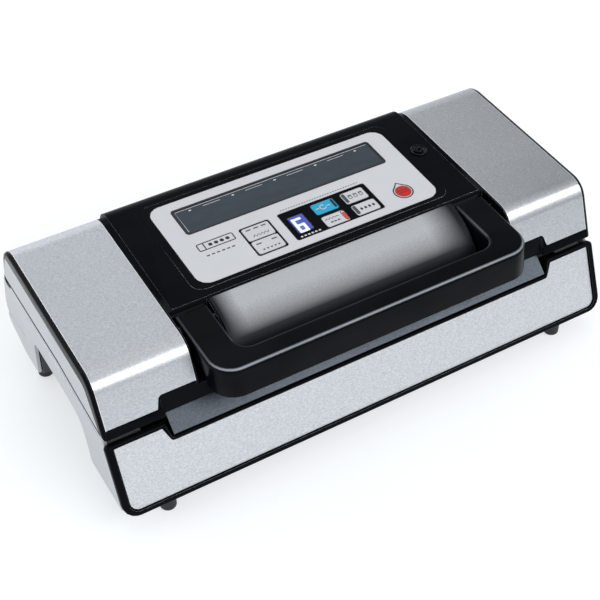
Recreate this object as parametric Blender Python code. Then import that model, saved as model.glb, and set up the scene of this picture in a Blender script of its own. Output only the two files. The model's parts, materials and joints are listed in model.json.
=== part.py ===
"""Countertop vacuum sealer with a roll bay, a lever lock and a control console.

Metres, +Z up, +X to the right of someone facing the front, which looks along -Y.
The origin is the middle of the footprint, on the surface that the feet stand on.
"""

import math

import bmesh
import bpy
from mathutils import Matrix, Vector

GAP = 0.0003  # clearance between neighbouring pieces

# Whole object
PANEL_X = 0.2135  # outer face of an end panel
BEZEL_X = 0.2145
REAR_Y = 0.1130
BASE_Z = 0.0205  # underside of the base, above the surface it stands on

# Front of the base, a plane that leans out towards the bottom
FRONT_Y = -0.1130
FRONT_LEAN = math.radians(23.4)
FRONT_HEIGHT = 0.0599  # measured along the slope
BEZEL_DEPTH = 0.0060

# Lid
TOP_Z = 0.1250  # top plane above the origin
TOP_TILT = math.radians(2.3)
SHOULDER_R = 0.018
REAR_TOP_R, WING_REAR_R = 0.022, 0.014
SHOULDER_Y = -0.0690
REAR_TOP_Y = 0.0850
LID_FRONT_Y = -0.0866
LID_LIP_Z = 0.0790
WALL = 0.0025
SHEET = 0.0009  # steel covers
COVER_X0, COVER_X1 = 0.1390, 0.2100
COVER_LIP_Z, COVER_REAR_Z = 0.0856, 0.0960
TRIM_BAND = 0.0115
TRIM_ROUND = 0.0023  # rounding of the lid's edges at both ends
SKIRT = 0.0030  # thickness of a silver skirt
SKIRT_LIFT = 0.0019  # black lip below a skirt, from the parting line

# Hinge at the rear, and the parting line between lid and base
HINGE_Y, HINGE_Z, HINGE_R = 0.0945, 0.0860, 0.0063
ROD_R = 0.0018
EAR_X0, EAR_X1, EAR_R = 0.1950, 0.2000, 0.0050
PART_BEND_Y = -0.008
PART_FRONT_Y, PART_FRONT_Z = -0.0866, 0.0770

# Console
WING_X, WING_RISE = 0.1335, 0.0010
BLOCK_X, BLOCK_RISE = 0.1115, 0.0014
BLOCK_Y0, BLOCK_Y1 = -0.0300, 0.0706
CONSOLE_Y0 = -0.0366
LABEL_X, LABEL_Y0, LABEL_Y1, LABEL_T = 0.1050, -0.0262, 0.0660, 0.0008
WINDOW = (-0.0883, 0.0277, 0.0883, 0.0560)
LEFT_ISLAND = (-0.0535, -0.0194, -0.0280, 0.0136)
RIGHT_ISLAND = (-0.0198, -0.0187, 0.0582, 0.0141)
DISPLAY = (-0.0150, -0.0125, -0.0020, 0.0073)
STOP_X, STOP_Y, STOP_R = 0.0806, -0.0097, 0.0064
PORT_X, PORT_Y, PORT_R = 0.1200, 0.0267, 0.0068
KEY_DEPTH, KEY_PROUD = 0.0030, 0.0004
KEYS = {
    "sealing_key": (-0.0521, -0.0022, -0.0294, 0.0122),
    "pressure_key": (-0.0521, -0.0180, -0.0294, -0.0036),
    "auto_key": (0.0074, -0.0014, 0.0273, 0.0107),
    "manual_key": (0.0078, -0.0172, 0.0277, -0.0052),
    "canister_key": (0.0342, -0.0019, 0.0541, 0.0109),
    "marinate_key": (0.0347, -0.0172, 0.0553, -0.0052),
}

# Handle, and the shaft that it turns on
PIVOT_Y, PIVOT_Z = -0.0470, 0.1130
SHAFT_R, KNUCKLE_R = 0.0030, 0.0098
WELL_R, WELL_HOLLOW_R = 0.0305, 0.0280  # floor of the well for the arms, and its underside
HANDLE_X, ARM_X, HANDLE_R = 0.1345, 0.1080, 0.0190
BAR_FRONT_Y, BAR_REAR_Y = -0.1080, -0.0900
BAR_TOP_Z, BAR_LOW_Z = 0.1194, 0.0945
ARM_LOW_Z = 0.1060
HOOK_X, HOOK_T = 0.1780, 0.0030
NOTCH_X, NOTCH_Z = 0.1640, 0.0930
SLOT_X = 0.1375

# Curve of the silver cover between the handle arms
CURVE_Y, CURVE_Z, CURVE_R = -0.0340, 0.0736, 0.0500
CENTRE_X = 0.1055

# Inside the base
BAR_X, BAR_Y, BAR_FLOOR = 0.1600, -0.0680, 0.0722
CHANNEL = (-0.1600, -0.0500, 0.1600, -0.0160)
CHANNEL_FLOOR = 0.0620
TRENCH = (-0.1640, -0.0030, 0.1640, 0.0090)
TRENCH_FLOOR = 0.0770
TRENCH_Y, CUTTER_X = 0.0030, -0.1450
PUMP_FACE_X, PUMP_Y, PUMP_Z = -0.1050, -0.0340, 0.0400
BAY_X, BAY_Y0, BAY_Y1, BAY_FLOOR = 0.1560, 0.0180, 0.0790, 0.0265
BAY_ROUND = 0.0240
TUB_X = 0.1840
ARCH_TOP = 0.0590
FOOT_R = 0.0064
FEET = {"front": (0.1770, -0.0985), "rear": (0.2030, 0.0710)}

BLACK = ((0.010, 0.011, 0.014, 1), 0.18, 0.0)
DARK = ((0.030, 0.032, 0.036, 1), 0.45, 0.0)
SILVER = ((0.56, 0.57, 0.60, 1), 0.40, 0.0)
STEEL = ((0.62, 0.63, 0.66, 1), 0.30, 1.0)
TROUGH = ((0.13, 0.15, 0.17, 1), 0.35, 1.0)
LIGHT = ((0.66, 0.67, 0.71, 1), 0.45, 0.0)
RUBBER = ((0.020, 0.022, 0.026, 1), 0.80, 0.0)
SMOKE = ((0.050, 0.070, 0.090, 1), 0.08, 0.0)
BLUE = ((0.025, 0.400, 0.680, 1), 0.40, 0.0)
RED = ((0.680, 0.080, 0.060, 1), 0.40, 0.0)
GREEN = ((0.020, 0.160, 0.070, 1), 0.50, 0.0)
COPPER = ((0.600, 0.280, 0.120, 1), 0.35, 1.0)
SILICONE = ((0.750, 0.740, 0.720, 1), 0.70, 0.0)


# ---------------------------------------------------------------- outlines


def rounded(corners, steps=6):
    """A closed outline of (a, b, radius) corners, with each corner rounded to its radius."""
    points = []
    for i, (a, b, radius) in enumerate(corners):
        here = Vector((a, b))
        if radius <= 0:
            points.append(here)
            continue
        back = (Vector(corners[i - 1][:2]) - here).normalized()
        ahead = (Vector(corners[(i + 1) % len(corners)][:2]) - here).normalized()
        half = back.angle(ahead) / 2
        centre = here + (back + ahead).normalized() * radius / math.sin(half)
        first = here + back * radius / math.tan(half) - centre
        last = here + ahead * radius / math.tan(half) - centre
        for k in range(steps + 1):
            part = first.lerp(last, k / steps).normalized() * radius
            points.append(centre + part)
    return [tuple(p) for p in points]


def block(x0, y0, x1, y1, radius=0.0, steps=4):
    """A rectangle as an outline, with one radius at its four corners."""
    corners = [(x0, y0, radius), (x1, y0, radius), (x1, y1, radius), (x0, y1, radius)]
    return rounded(corners, steps)


def arc(y, z, radius, start, end, steps):
    """Points of an arc; the angles are in degrees from the first axis."""
    turns = [math.radians(start + (end - start) * k / steps) for k in range(steps + 1)]
    return [(y + radius * math.cos(t), z + radius * math.sin(t)) for t in turns]


def grown(outline, distance):
    """The outline moved out by a distance, or in if it is negative. The outline runs anticlockwise."""
    moved = []
    for i, here in enumerate(outline):
        before = Vector(here) - Vector(outline[i - 1])
        after = Vector(outline[(i + 1) % len(outline)]) - Vector(here)
        normal = Vector((before.y, -before.x)).normalized()
        normal += Vector((after.y, -after.x)).normalized()
        stretch = 2 / max(normal.length_squared, 0.2)
        moved.append(tuple(Vector(here) + normal * distance * stretch))
    return moved


def top_z(y):
    return TOP_Z + y * math.tan(TOP_TILT)


def part_z(y):
    """Height of the parting line: level at the rear, falling to the front."""
    fall = (HINGE_Z - PART_FRONT_Z) / (PART_BEND_Y - PART_FRONT_Y)
    return HINGE_Z - max(0.0, PART_BEND_Y - y) * fall


def lid_outline(low=0.0):
    """Side view of the lid, anticlockwise from the front lip; low moves the underside up."""
    skin = rounded(
        [
            (HINGE_Y + HINGE_R, HINGE_Z, 0),
            (REAR_TOP_Y, top_z(REAR_TOP_Y), REAR_TOP_R),
            (SHOULDER_Y, top_z(SHOULDER_Y), SHOULDER_R),
            (LID_FRONT_Y, LID_LIP_Z, 0),
        ],
        8,
    )
    under = [(LID_FRONT_Y + 0.003, part_z(LID_FRONT_Y) + 0.0010 + low)]
    under.append((PART_BEND_Y, HINGE_Z + GAP + low))
    under.append((HINGE_Y - HINGE_R, HINGE_Z + GAP + low))
    under += arc(HINGE_Y, HINGE_Z + low, HINGE_R, 225, 330, 4)
    return under + skin


def lid_skin(offset=0.0, rear_r=REAR_TOP_R):
    """Side view of the lid's outer skin, drawn on down past its lower edges and moved by an offset."""
    low = 0.0500
    rear_lean = (HINGE_Y + HINGE_R - REAR_TOP_Y) / (top_z(REAR_TOP_Y) - HINGE_Z)
    front_lean = (LID_FRONT_Y - SHOULDER_Y) / (top_z(SHOULDER_Y) - LID_LIP_Z)
    corners = [
        (HINGE_Y + HINGE_R + (HINGE_Z - low) * rear_lean, low, 0),
        (REAR_TOP_Y, top_z(REAR_TOP_Y), rear_r),
        (SHOULDER_Y, top_z(SHOULDER_Y), SHOULDER_R),
        (LID_FRONT_Y + (LID_LIP_Z - low) * front_lean, low, 0),
    ]
    return grown(rounded(corners, 8), offset)


# ---------------------------------------------------------------- solids


def material(name, finish):
    colour, roughness, metallic = finish
    made = bpy.data.materials.new(name)
    made.use_nodes = True
    shader = made.node_tree.nodes["Principled BSDF"]
    shader.inputs["Base Color"].default_value = colour
    shader.inputs["Roughness"].default_value = roughness
    shader.inputs["Metallic"].default_value = metallic
    made.diffuse_color = colour
    return made


def mesh_object(name, points, faces, finish=None):
    mesh = bpy.data.meshes.new(name)
    mesh.from_pydata([tuple(p) for p in points], [], faces)
    shape = bmesh.new()
    shape.from_mesh(mesh)
    bmesh.ops.recalc_face_normals(shape, faces=shape.faces)
    if shape.calc_volume(signed=True) < 0:
        bmesh.ops.reverse_faces(shape, faces=shape.faces)
    shape.to_mesh(mesh)
    shape.free()
    made = bpy.data.objects.new(name, mesh)
    bpy.context.scene.collection.objects.link(made)
    if finish:
        mesh.materials.append(material(name, finish))
    return made


def loft(name, sections, finish=None):
    """A solid through outlines with equal numbers of points, each a list of (x, y, z)."""
    count = len(sections[0])
    points = [p for section in sections for p in section]
    faces = [list(range(count)), list(range(len(points) - count, len(points)))[::-1]]
    for row in range(len(sections) - 1):
        for i in range(count):
            j = (i + 1) % count
            low = row * count
            faces.append([low + i, low + j, low + count + j, low + count + i])
    return mesh_object(name, points, faces, finish)


def across(name, outline, x0, x1, finish=None):
    """A side-view outline, of (y, z) points, drawn out along X."""
    return loft(name, [[(x, y, z) for y, z in outline] for x in (x0, x1)], finish)


def upright(name, outline, z0, z1, finish=None):
    """A plan outline, of (x, y) points, drawn out along Z."""
    return loft(name, [[(x, y, z) for x, y in outline] for z in (z0, z1)], finish)


def box(name, low, high, finish=None):
    return upright(name, block(low[0], low[1], high[0], high[1]), low[2], high[2], finish)


def turned(name, profile, centre, axis="Z", steps=20, finish=None):
    """A round solid from a closed (radius, height) profile. A radius of 0 lies on the axis."""
    points, rings = [], []
    for radius, height in profile:
        ring = []
        for k in range(1 if radius == 0 else steps):
            t = 2 * math.pi * (k + 0.5) / steps
            ring.append(len(points))
            points.append((radius * math.cos(t), radius * math.sin(t), height))
        rings.append(ring)
    faces = []
    for a, b in zip(rings, rings[1:] + rings[:1]):
        for k in range(steps):
            n = (k + 1) % steps
            corners = [a[k % len(a)], a[n % len(a)], b[n % len(b)], b[k % len(b)]]
            corners = list(dict.fromkeys(corners))
            if len(corners) > 2:
                faces.append(corners)
    made = mesh_object(name, points, faces, finish)
    turn = {"Z": Matrix(), "X": Matrix.Rotation(math.pi / 2, 4, "Y"),
            "Y": Matrix.Rotation(-math.pi / 2, 4, "X")}[axis]
    made.data.transform(Matrix.Translation(centre) @ turn)
    return made


def boolean(target, cutters, operation="DIFFERENCE"):
    """Cuts or joins the target with each cutter, then removes the cutters."""
    for cutter in cutters:
        cutter.hide_render = True
        cutter.display_type = "WIRE"
        change = target.modifiers.new("Boolean", "BOOLEAN")
        change.operation = operation
        change.solver = "EXACT"
        change.object = cutter
    graph = bpy.context.evaluated_depsgraph_get()
    result = bpy.data.meshes.new_from_object(target.evaluated_get(graph))
    target.modifiers.clear()
    target.data = result
    for cutter in cutters:
        bpy.data.objects.remove(cutter)
    return target


def join(target, others):
    return boolean(target, others, "UNION")


def smooth(made, angle=35):
    """Shades the object smooth, except across edges sharper than the angle."""
    for face in made.data.polygons:
        face.use_smooth = True
    shape = bmesh.new()
    shape.from_mesh(made.data)
    for edge in shape.edges:
        edge.smooth = len(edge.link_faces) == 2 and edge.calc_face_angle(0) < math.radians(angle)
    shape.to_mesh(made.data)
    shape.free()
    return made


def on_top(made):
    """Places a piece drawn on the XY plane onto the lid's tilted top plane."""
    made.data.transform(Matrix.Translation((0, 0, TOP_Z)) @ Matrix.Rotation(TOP_TILT, 4, "X"))
    return made


def on_front(made):
    """Places a piece drawn on the XY plane, with Y up the slope, onto the base's front plane."""
    turn = Matrix.Rotation(math.pi / 2 - FRONT_LEAN, 4, "X")
    made.data.transform(Matrix.Translation((0, FRONT_Y, BASE_Z)) @ turn)
    return made


def both_sides(make):
    """Calls a maker for the left side, where x is multiplied by -1, and for the right side."""
    for word, side in (("left", -1), ("right", 1)):
        make(word, side)


# ---------------------------------------------------------------- lid


def console_layer(name, x, y0, y1, low, high, radius, finish=None):
    return on_top(upright(name, block(-x, y0, x, y1, radius), low, high, finish))


def lid_frame():
    """The black moulding under the covers. It is also the console, the trim and the seam strips."""
    outline = lid_outline()
    ends = []
    for turn in (90, 45, 0):
        inset = TRIM_ROUND * (1 - math.cos(math.radians(turn)))
        x = PANEL_X - TRIM_ROUND * (1 - math.sin(math.radians(turn)))
        ends.append((x, grown(outline, -inset)))
    ends = [(-x, side) for x, side in ends] + ends[::-1]
    frame = loft("lid_frame", [[(x, y, z) for y, z in side] for x, side in ends], BLACK)

    wings = across("wings", lid_skin(WING_RISE, WING_REAR_R), -WING_X, WING_X)
    boolean(wings, [box("kept", (-1, CONSOLE_Y0, 0.1000), (1, 1, 1))], "INTERSECT")
    join(frame, [wings])
    join(frame, [console_layer("raised", BLOCK_X, BLOCK_Y0, BLOCK_Y1, -0.002, BLOCK_RISE, 0.009)])

    cuts = []
    # Recesses for the steel covers
    for side in (-1, 1):
        x0, x1 = sorted((side * (COVER_X0 - GAP), side * (COVER_X1 + GAP)))
        cuts.append(cover_ring("sunk", x0, x1, 0.0040, -SHEET - GAP, GAP))
        # Pocket for the silver skirt
        x0, x1 = sorted((side * (PANEL_X - SKIRT - GAP), side * (PANEL_X + 0.01)))
        cuts.append(across("pocket", grown(skirt_outline(), GAP), x0, x1))
    # Well for the handle arms, with a higher floor under the centre cover
    well = [(CONSOLE_Y0, 0.1400), (-0.1200, 0.1400), (-0.1200, NOTCH_Z)]
    well += arc(CURVE_Y, CURVE_Z, WELL_R, 142.7, 95, 6)
    well += [(CONSOLE_Y0, CURVE_Z + WELL_R - 0.0001)]
    crown_r = CURVE_R - SHEET - GAP
    crown = arc(CURVE_Y, CURVE_Z, crown_r, 160, 93, 10)
    crown = [(CONSOLE_Y0, 0.1400), (-0.1200, 0.1400), (-0.1200, crown[0][1])] + crown
    cuts.append(across("crown", crown, -SLOT_X, SLOT_X))
    for side in (-1, 1):
        x0, x1 = sorted((side * (CENTRE_X + 0.0010), side * SLOT_X))
        cuts.append(across("well", well, x0, x1))
    # Notch across the lower front edge
    nose = [(-0.1200, NOTCH_Z + 0.0010), (-0.0798, NOTCH_Z + 0.0010), (-0.0822, 0.0800),
            (-0.0822, 0.060), (-0.1200, 0.060)]
    cuts.append(across("nose", nose, -NOTCH_X - 0.003, NOTCH_X + 0.003))
    boolean(frame, cuts + hinge_cuts())
    join(frame, [skirt_lip(-1), skirt_lip(1)])
    boolean(frame, lid_hollows())
    boolean(frame, console_openings())
    return smooth(frame)


def skirt_lip(side):
    """Black strip between a skirt and the parting line, flush with the skirt's face."""
    line = [(-0.0788, part_z(-0.0788) + 0.0003), (PART_BEND_Y, HINGE_Z), (HINGE_Y - 0.0013, HINGE_Z)]
    low, high = GAP + 0.0002, SKIRT_LIFT - GAP - 0.0001
    outline = [(y, z + low) for y, z in line] + [(y, z + high) for y, z in reversed(line)]
    x0, x1 = sorted((side * (PANEL_X - SKIRT - 0.0011), side * (PANEL_X - 0.0001)))
    return across("lip", outline, x0, x1)


def hinge_cuts():
    """The rod's bore through the barrel, and the gaps in it for the base's ears."""
    bore = ROD_R + GAP
    cuts = [turned("rod_bore", [(0, -0.22), (bore, -0.22), (bore, 0.22), (0, 0.22)],
                   (0, HINGE_Y, HINGE_Z), "X", 12)]
    for side in (-1, 1):
        x0, x1 = sorted((side * (EAR_X0 - GAP), side * (EAR_X1 + GAP)))
        space = EAR_R + 0.0018
        gap = [(0, x0), (space, x0), (space, x1), (0, x1)]
        cuts.append(turned("ear_gap", gap, (0, HINGE_Y, HINGE_Z), "X"))
        cuts.append(box("ear_slot", (x0, HINGE_Y - space, HINGE_Z - 0.02),
                        (x1, HINGE_Y + space, HINGE_Z)))
    return cuts


def skirt_outline():
    """Side view of a silver skirt, anticlockwise from its lower front corner."""
    return rounded(
        [
            (-0.0790, part_z(-0.0790) + SKIRT_LIFT, 0),
            (PART_BEND_Y, HINGE_Z + SKIRT_LIFT, 0),
            (HINGE_Y - 0.0010, HINGE_Z + SKIRT_LIFT, 0),
            (0.0985, HINGE_Z + SKIRT_LIFT + 0.0022, 0),
            (REAR_TOP_Y + 0.0010, top_z(REAR_TOP_Y) - TRIM_BAND, 0.005),
            (-0.0605, top_z(-0.0605) - TRIM_BAND, 0.010),
        ],
        6,
    )


def cover_ring(name, x0, x1, outer, inner, slack=0.0, finish=None):
    """The space between two offsets of the lid's skin, from the front lip to the rear edge of a cover."""
    ring = across(name, lid_skin(outer), x0, x1, finish)
    return boolean(ring, [
        across("core", lid_skin(inner), x0 - 0.01, x1 + 0.01),
        box("low", (-1, -1, 0), (1, 0.0750, COVER_LIP_Z - slack)),
        box("back", (-1, 0.0740, 0), (1, 1, COVER_REAR_Z - slack)),
    ])


def lid_hollows():
    """The space inside the lid, open below."""
    cuts = []
    inner = lid_skin(-WALL - SHEET - GAP)
    spans = [(-SLOT_X, SLOT_X, CONSOLE_Y0 + WALL)]
    for side in (-1, 1):
        x0, x1 = sorted((side * (SLOT_X + WALL), side * (PANEL_X - SKIRT - GAP - WALL)))
        spans.append((x0, x1, -0.0785))
    for x0, x1, y0 in spans:
        hollow = across("hollow", inner, x0, x1)
        cuts.append(boolean(hollow, [box("kept", (-1, y0, 0), (1, 0.0880, 1))], "INTERSECT"))
    for side in (-1, 1):
        x0, x1 = sorted((side * (CENTRE_X + WALL), side * (SLOT_X - 0.0010)))
        under = [(CONSOLE_Y0 + 0.0040, 0.0600), (CONSOLE_Y0 + 0.0040, 0.1020)]
        under += arc(CURVE_Y, CURVE_Z, WELL_HOLLOW_R, 95, 145, 6)
        under += [(-0.0770, NOTCH_Z - WALL), (-0.0785, 0.0600)]
        cuts.append(across("slot_hollow", under, x0, x1))
    crown = [(CONSOLE_Y0 + 0.0040, 0.0600), (CONSOLE_Y0 + 0.0040, 0.1160)]
    crown += arc(CURVE_Y, CURVE_Z, CURVE_R - SHEET - GAP - WALL, 95, 158, 8)
    crown += [(-0.0785, 0.0600)]
    cuts.append(across("crown_hollow", crown, -CENTRE_X + 0.0015, CENTRE_X - 0.0015))
    y0, y1, low, high = -0.0785, 0.0880, -0.0200, 0.0039
    space = [(y0, part_z(y0) + low), (PART_BEND_Y, HINGE_Z + low), (y1, HINGE_Z + low),
             (y1, HINGE_Z + high), (PART_BEND_Y, HINGE_Z + high), (y0, part_z(y0) + high)]
    cuts.append(across("liner_space", space, -0.2045, 0.2045))
    return cuts


def console_openings():
    """Label recess, key wells, window, display, stop key, hose port and the shaft's bearings."""
    deep, high = -0.0080, 0.0100
    label = console_layer("label_seat", LABEL_X + GAP, LABEL_Y0 - GAP, LABEL_Y1 + GAP,
                          BLOCK_RISE - LABEL_T - GAP, high, 0.0105)
    islands = [on_top(upright("island", block(*i, 0.0020), deep, high + 0.002))
               for i in (LEFT_ISLAND, RIGHT_ISLAND)]
    boolean(label, islands)
    cuts = [label]
    for x0, y0, x1, y1 in KEYS.values():
        cuts.append(on_top(upright("key_well", block(x0 - GAP, y0 - GAP, x1 + GAP, y1 + GAP, 0.0018),
                                   deep, high)))
    for x0, y0, x1, y1 in (WINDOW, DISPLAY):
        cuts.append(on_top(upright("lens_seat", block(x0 - GAP, y0 - GAP, x1 + GAP, y1 + GAP, 0.0015),
                                   BLOCK_RISE - 0.0024, high)))
        inset = 0.0022
        cuts.append(on_top(upright("lens_hole", block(x0 + inset, y0 + inset, x1 - inset, y1 - inset),
                                   deep, high)))
    well = [(0, deep), (STOP_R + GAP, deep), (STOP_R + GAP, high), (0, high)]
    cuts.append(on_top(turned("stop_well", well, (STOP_X, STOP_Y, 0), steps=24)))
    cuts.append(on_top(turned("port_hole", [(0, deep), (0.0052, deep), (0.0052, high), (0, high)],
                              (PORT_X, PORT_Y, 0))))
    bore = SHAFT_R + GAP
    cuts.append(turned("bearing", [(0, -0.1900), (bore, -0.1900), (bore, 0.1900), (0, 0.1900)],
                       (0, PIVOT_Y, PIVOT_Z), "X"))
    return cuts


def steel_cover(word, side):
    """A brushed steel sheet that wraps the lid from its rear face to its front lip."""
    x0, x1 = sorted((side * COVER_X0, side * COVER_X1))
    sheet = cover_ring(f"{word}_cover", x0, x1, 0.0, -SHEET, 0.0, STEEL)
    step = [(0, 0.0500), (side * (NOTCH_X + 0.0067), 0.0500), (side * (NOTCH_X + 0.0067), COVER_LIP_Z),
            (side * (NOTCH_X + 0.0042), NOTCH_Z + 0.0003), (side * (NOTCH_X + 0.0022), NOTCH_Z + 0.0017),
            (0, NOTCH_Z + 0.0019)]
    return smooth(boolean(sheet, [loft("step", [[(x, y, z) for x, z in step] for y in (-0.2, -0.0650)])]))


def silver_skirt(word, side):
    x0, x1 = sorted((side * (PANEL_X - SKIRT), side * (PANEL_X - 0.0003)))
    return smooth(across(f"{word}_skirt", skirt_outline(), x0, x1, SILVER))


def centre_cover():
    """Silver sheet, curved down and forward between the handle arms."""
    outer = arc(CURVE_Y, CURVE_Z, CURVE_R, 158, 94.5, 14)
    inner = arc(CURVE_Y, CURVE_Z, CURVE_R - SHEET, 94.5, 158, 14)
    return smooth(across("centre_cover", outer + inner, -CENTRE_X, CENTRE_X, LIGHT))


def label_panel():
    panel = console_layer("label_panel", LABEL_X, LABEL_Y0, LABEL_Y1, BLOCK_RISE - LABEL_T, BLOCK_RISE,
                          0.0100, LIGHT)
    cuts = []
    for x0, y0, x1, y1 in (LEFT_ISLAND, RIGHT_ISLAND, WINDOW):
        hole = block(x0 - GAP, y0 - GAP, x1 + GAP, y1 + GAP, 0.0022)
        cuts.append(on_top(upright("hole", hole, -0.01, 0.01)))
    hole = [(0, -0.01), (STOP_R + GAP, -0.01), (STOP_R + GAP, 0.01), (0, 0.01)]
    cuts.append(on_top(turned("hole", hole, (STOP_X, STOP_Y, 0), steps=24)))
    return smooth(boolean(panel, cuts))


def lens(name, place, radius):
    x0, y0, x1, y1 = place
    top = BLOCK_RISE - 0.0002
    return on_top(upright(name, block(x0, y0, x1, y1, radius), top - 0.0016, top, SMOKE))


def press_key(name, place, finish):
    x0, y0, x1, y1 = place
    sections = []
    for inset, z in ((0, BLOCK_RISE - KEY_DEPTH), (0, BLOCK_RISE), (0.0003, BLOCK_RISE + KEY_PROUD)):
        outline = block(x0 + inset, y0 + inset, x1 - inset, y1 - inset, 0.0016, 3)
        sections.append([(x, y, z) for x, y in outline])
    return smooth(on_top(loft(name, sections, finish)))


def stop_key():
    low, high = BLOCK_RISE - KEY_DEPTH, BLOCK_RISE + KEY_PROUD
    profile = [(0, low), (STOP_R, low), (STOP_R, high - 0.0003), (STOP_R - 0.0004, high), (0, high)]
    return smooth(on_top(turned("stop_key", profile, (STOP_X, STOP_Y, 0), steps=24, finish=RED)))


def accessory_port():
    """Hose nozzle sunk in the console: a flange, a ring groove and a hollow hub."""
    profile = [(0.0016, -0.0070), (0.0049, -0.0070), (0.0049, WING_RISE + 0.0003),
               (PORT_R, WING_RISE + 0.0003), (PORT_R, WING_RISE + 0.0011), (0.0056, WING_RISE + 0.0011),
               (0.0046, WING_RISE - 0.0008), (0.0038, WING_RISE - 0.0008), (0.0034, WING_RISE + 0.0016),
               (0.0016, WING_RISE + 0.0016)]
    return smooth(on_top(turned("accessory_port", profile, (PORT_X, PORT_Y, 0), finish=BLACK)))


def control_board():
    board = on_top(upright("control_board", block(-0.0600, -0.0210, 0.0930, 0.0180),
                           -0.0100, -0.0084, GREEN))
    switches = []
    for x0, y0, x1, y1 in list(KEYS.values()) + [(STOP_X, STOP_Y, STOP_X, STOP_Y)]:
        x, y = (x0 + x1) / 2, (y0 + y1) / 2
        switches.append(on_top(upright("tact", block(x - 0.003, y - 0.003, x + 0.003, y + 0.003),
                                       -0.0090, -0.0030)))
    x0, y0, x1, y1 = DISPLAY
    inner = block(x0 + 0.003, y0 + 0.003, x1 - 0.003, y1 - 0.003)
    switches.append(on_top(upright("glass", inner, -0.0090, -0.0020)))
    return join(board, switches)


def lid_liner():
    """Inner cover of the lid: a bent plate that follows the parting line."""
    y0, y1 = -0.0765, 0.0780
    low, high = 0.0016, 0.0036
    outline = [(y0, part_z(y0) + low), (PART_BEND_Y, HINGE_Z + low), (y1, HINGE_Z + low),
               (y1, HINGE_Z + high), (PART_BEND_Y, HINGE_Z + high), (y0, part_z(y0) + high)]
    liner = across("lid_liner", outline, -0.2040, 0.2040, DARK)
    cuts = [box("view", (-0.0920, 0.0220, 0.080), (0.0920, 0.0640, 0.100))]
    for side in (-1, 1):
        x0, x1 = sorted((side * (HOOK_X - 0.0035), side * (HOOK_X + 0.0035)))
        cuts.append(box("hook_slot", (x0, -0.0740, 0.060), (x1, -0.0380, 0.100)))
    cuts.append(gasket("groove", -0.0050, 0.0029, 0.0035, 0.0020))
    return boolean(liner, cuts)


def gasket(name, low, high, grow, half=0.0014, finish=None):
    """A ring round the vacuum channel, between two heights above the parting slope."""
    x0, y0, x1, y1 = CHANNEL
    rings = []
    for out in (grow + half, grow - half):
        outline = block(x0 - out, y0 - out, x1 + out, y1 + out, out + 0.002, 4)
        rings.append([(x, y, part_z(y)) for x, y in outline])
    body = loft(name, [[(x, y, z + h) for x, y, z in rings[0]] for h in (low, high)], finish)
    core = loft("core", [[(x, y, z + h) for x, y, z in rings[1]] for h in (low - 0.01, high + 0.01)])
    return smooth(boolean(body, [core]))


def pressure_pad():
    """Silicone strip in the lid that presses the bag onto the heating strip."""
    outline = []
    for y, h in ((BAR_Y - 0.004, 0.0002), (BAR_Y + 0.004, 0.0002), (BAR_Y + 0.004, 0.0013),
                 (BAR_Y - 0.004, 0.0013)):
        outline.append((y, part_z(y) + h))
    return across("pressure_pad", outline, -BAR_X + 0.002, BAR_X - 0.002, SILICONE)


# ---------------------------------------------------------------- handle


def handle():
    """U-shaped lever: two arms from the shaft and a bar in front."""
    plan = rounded(
        [
            (-HANDLE_X, -0.0300, 0), (-HANDLE_X, BAR_FRONT_Y, HANDLE_R), (HANDLE_X, BAR_FRONT_Y, HANDLE_R),
            (HANDLE_X, -0.0300, 0), (ARM_X, -0.0300, 0), (ARM_X, BAR_REAR_Y, 0.0100),
            (-ARM_X, BAR_REAR_Y, 0.0100), (-ARM_X, -0.0300, 0),
        ],
        7,
    )
    sections = []
    for inset, z in ((0.0012, BAR_LOW_Z), (0.0, BAR_LOW_Z + 0.0012), (0.0, BAR_TOP_Z - 0.0036),
                     (0.0007, BAR_TOP_Z - 0.0016), (0.0019, BAR_TOP_Z - 0.0004), (0.0036, BAR_TOP_Z)):
        lean = 0.12 * (BAR_TOP_Z - z)
        front = [(x, y - lean * min(1, max(0, (-0.05 - y) / 0.04)), z) for x, y in grown(plan, -inset)]
        sections.append([(x, y, z + 0.035 * (y - BAR_FRONT_Y)) for x, y, z in front])
    lever = loft("handle", sections, BLACK)
    side = arc(PIVOT_Y, PIVOT_Z, KNUCKLE_R, -100, 88, 12)
    side += [(PIVOT_Y, 0.1400), (-0.1400, 0.1400), (-0.1400, 0.0800), (BAR_REAR_Y + 0.0010, 0.0800),
             (BAR_REAR_Y + 0.0014, ARM_LOW_Z - 0.0035), (BAR_REAR_Y + 0.0050, ARM_LOW_Z)]
    boolean(lever, [across("side", side, -0.2, 0.2)], "INTERSECT")
    bore = SHAFT_R + GAP
    boolean(lever, [turned("bore", [(0, -0.2), (bore, -0.2), (bore, 0.2), (0, 0.2)],
                           (0, PIVOT_Y, PIVOT_Z), "X")])
    return smooth(lever)


def lock_shaft():
    profile = [(0, -0.1860), (SHAFT_R, -0.1860), (SHAFT_R, 0.1860), (0, 0.1860)]
    return smooth(turned("lock_shaft", profile, (0, PIVOT_Y, PIVOT_Z), "X", finish=STEEL))


def hook(word, side):
    """Steel latch hook that hangs from the shaft, with its nose towards the rear."""
    outline = arc(PIVOT_Y, PIVOT_Z, 0.0058, -10, 185, 10)
    outline += rounded(
        [
            (PIVOT_Y - 0.0052, 0.0735, 0.002), (PIVOT_Y + 0.0018, 0.0735, 0.001),
            (PIVOT_Y + 0.0018, 0.0752, 0), (PIVOT_Y - 0.0005, 0.0775, 0),
        ],
        4,
    )
    x = side * HOOK_X
    plate = across(f"{word}_hook", outline, x - HOOK_T / 2, x + HOOK_T / 2, STEEL)
    bore = SHAFT_R + 0.0001
    return boolean(plate, [turned("bore", [(0, -0.01), (bore, -0.01), (bore, 0.01), (0, 0.01)],
                                  (x, PIVOT_Y, PIVOT_Z), "X")])


# ---------------------------------------------------------------- base


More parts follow.
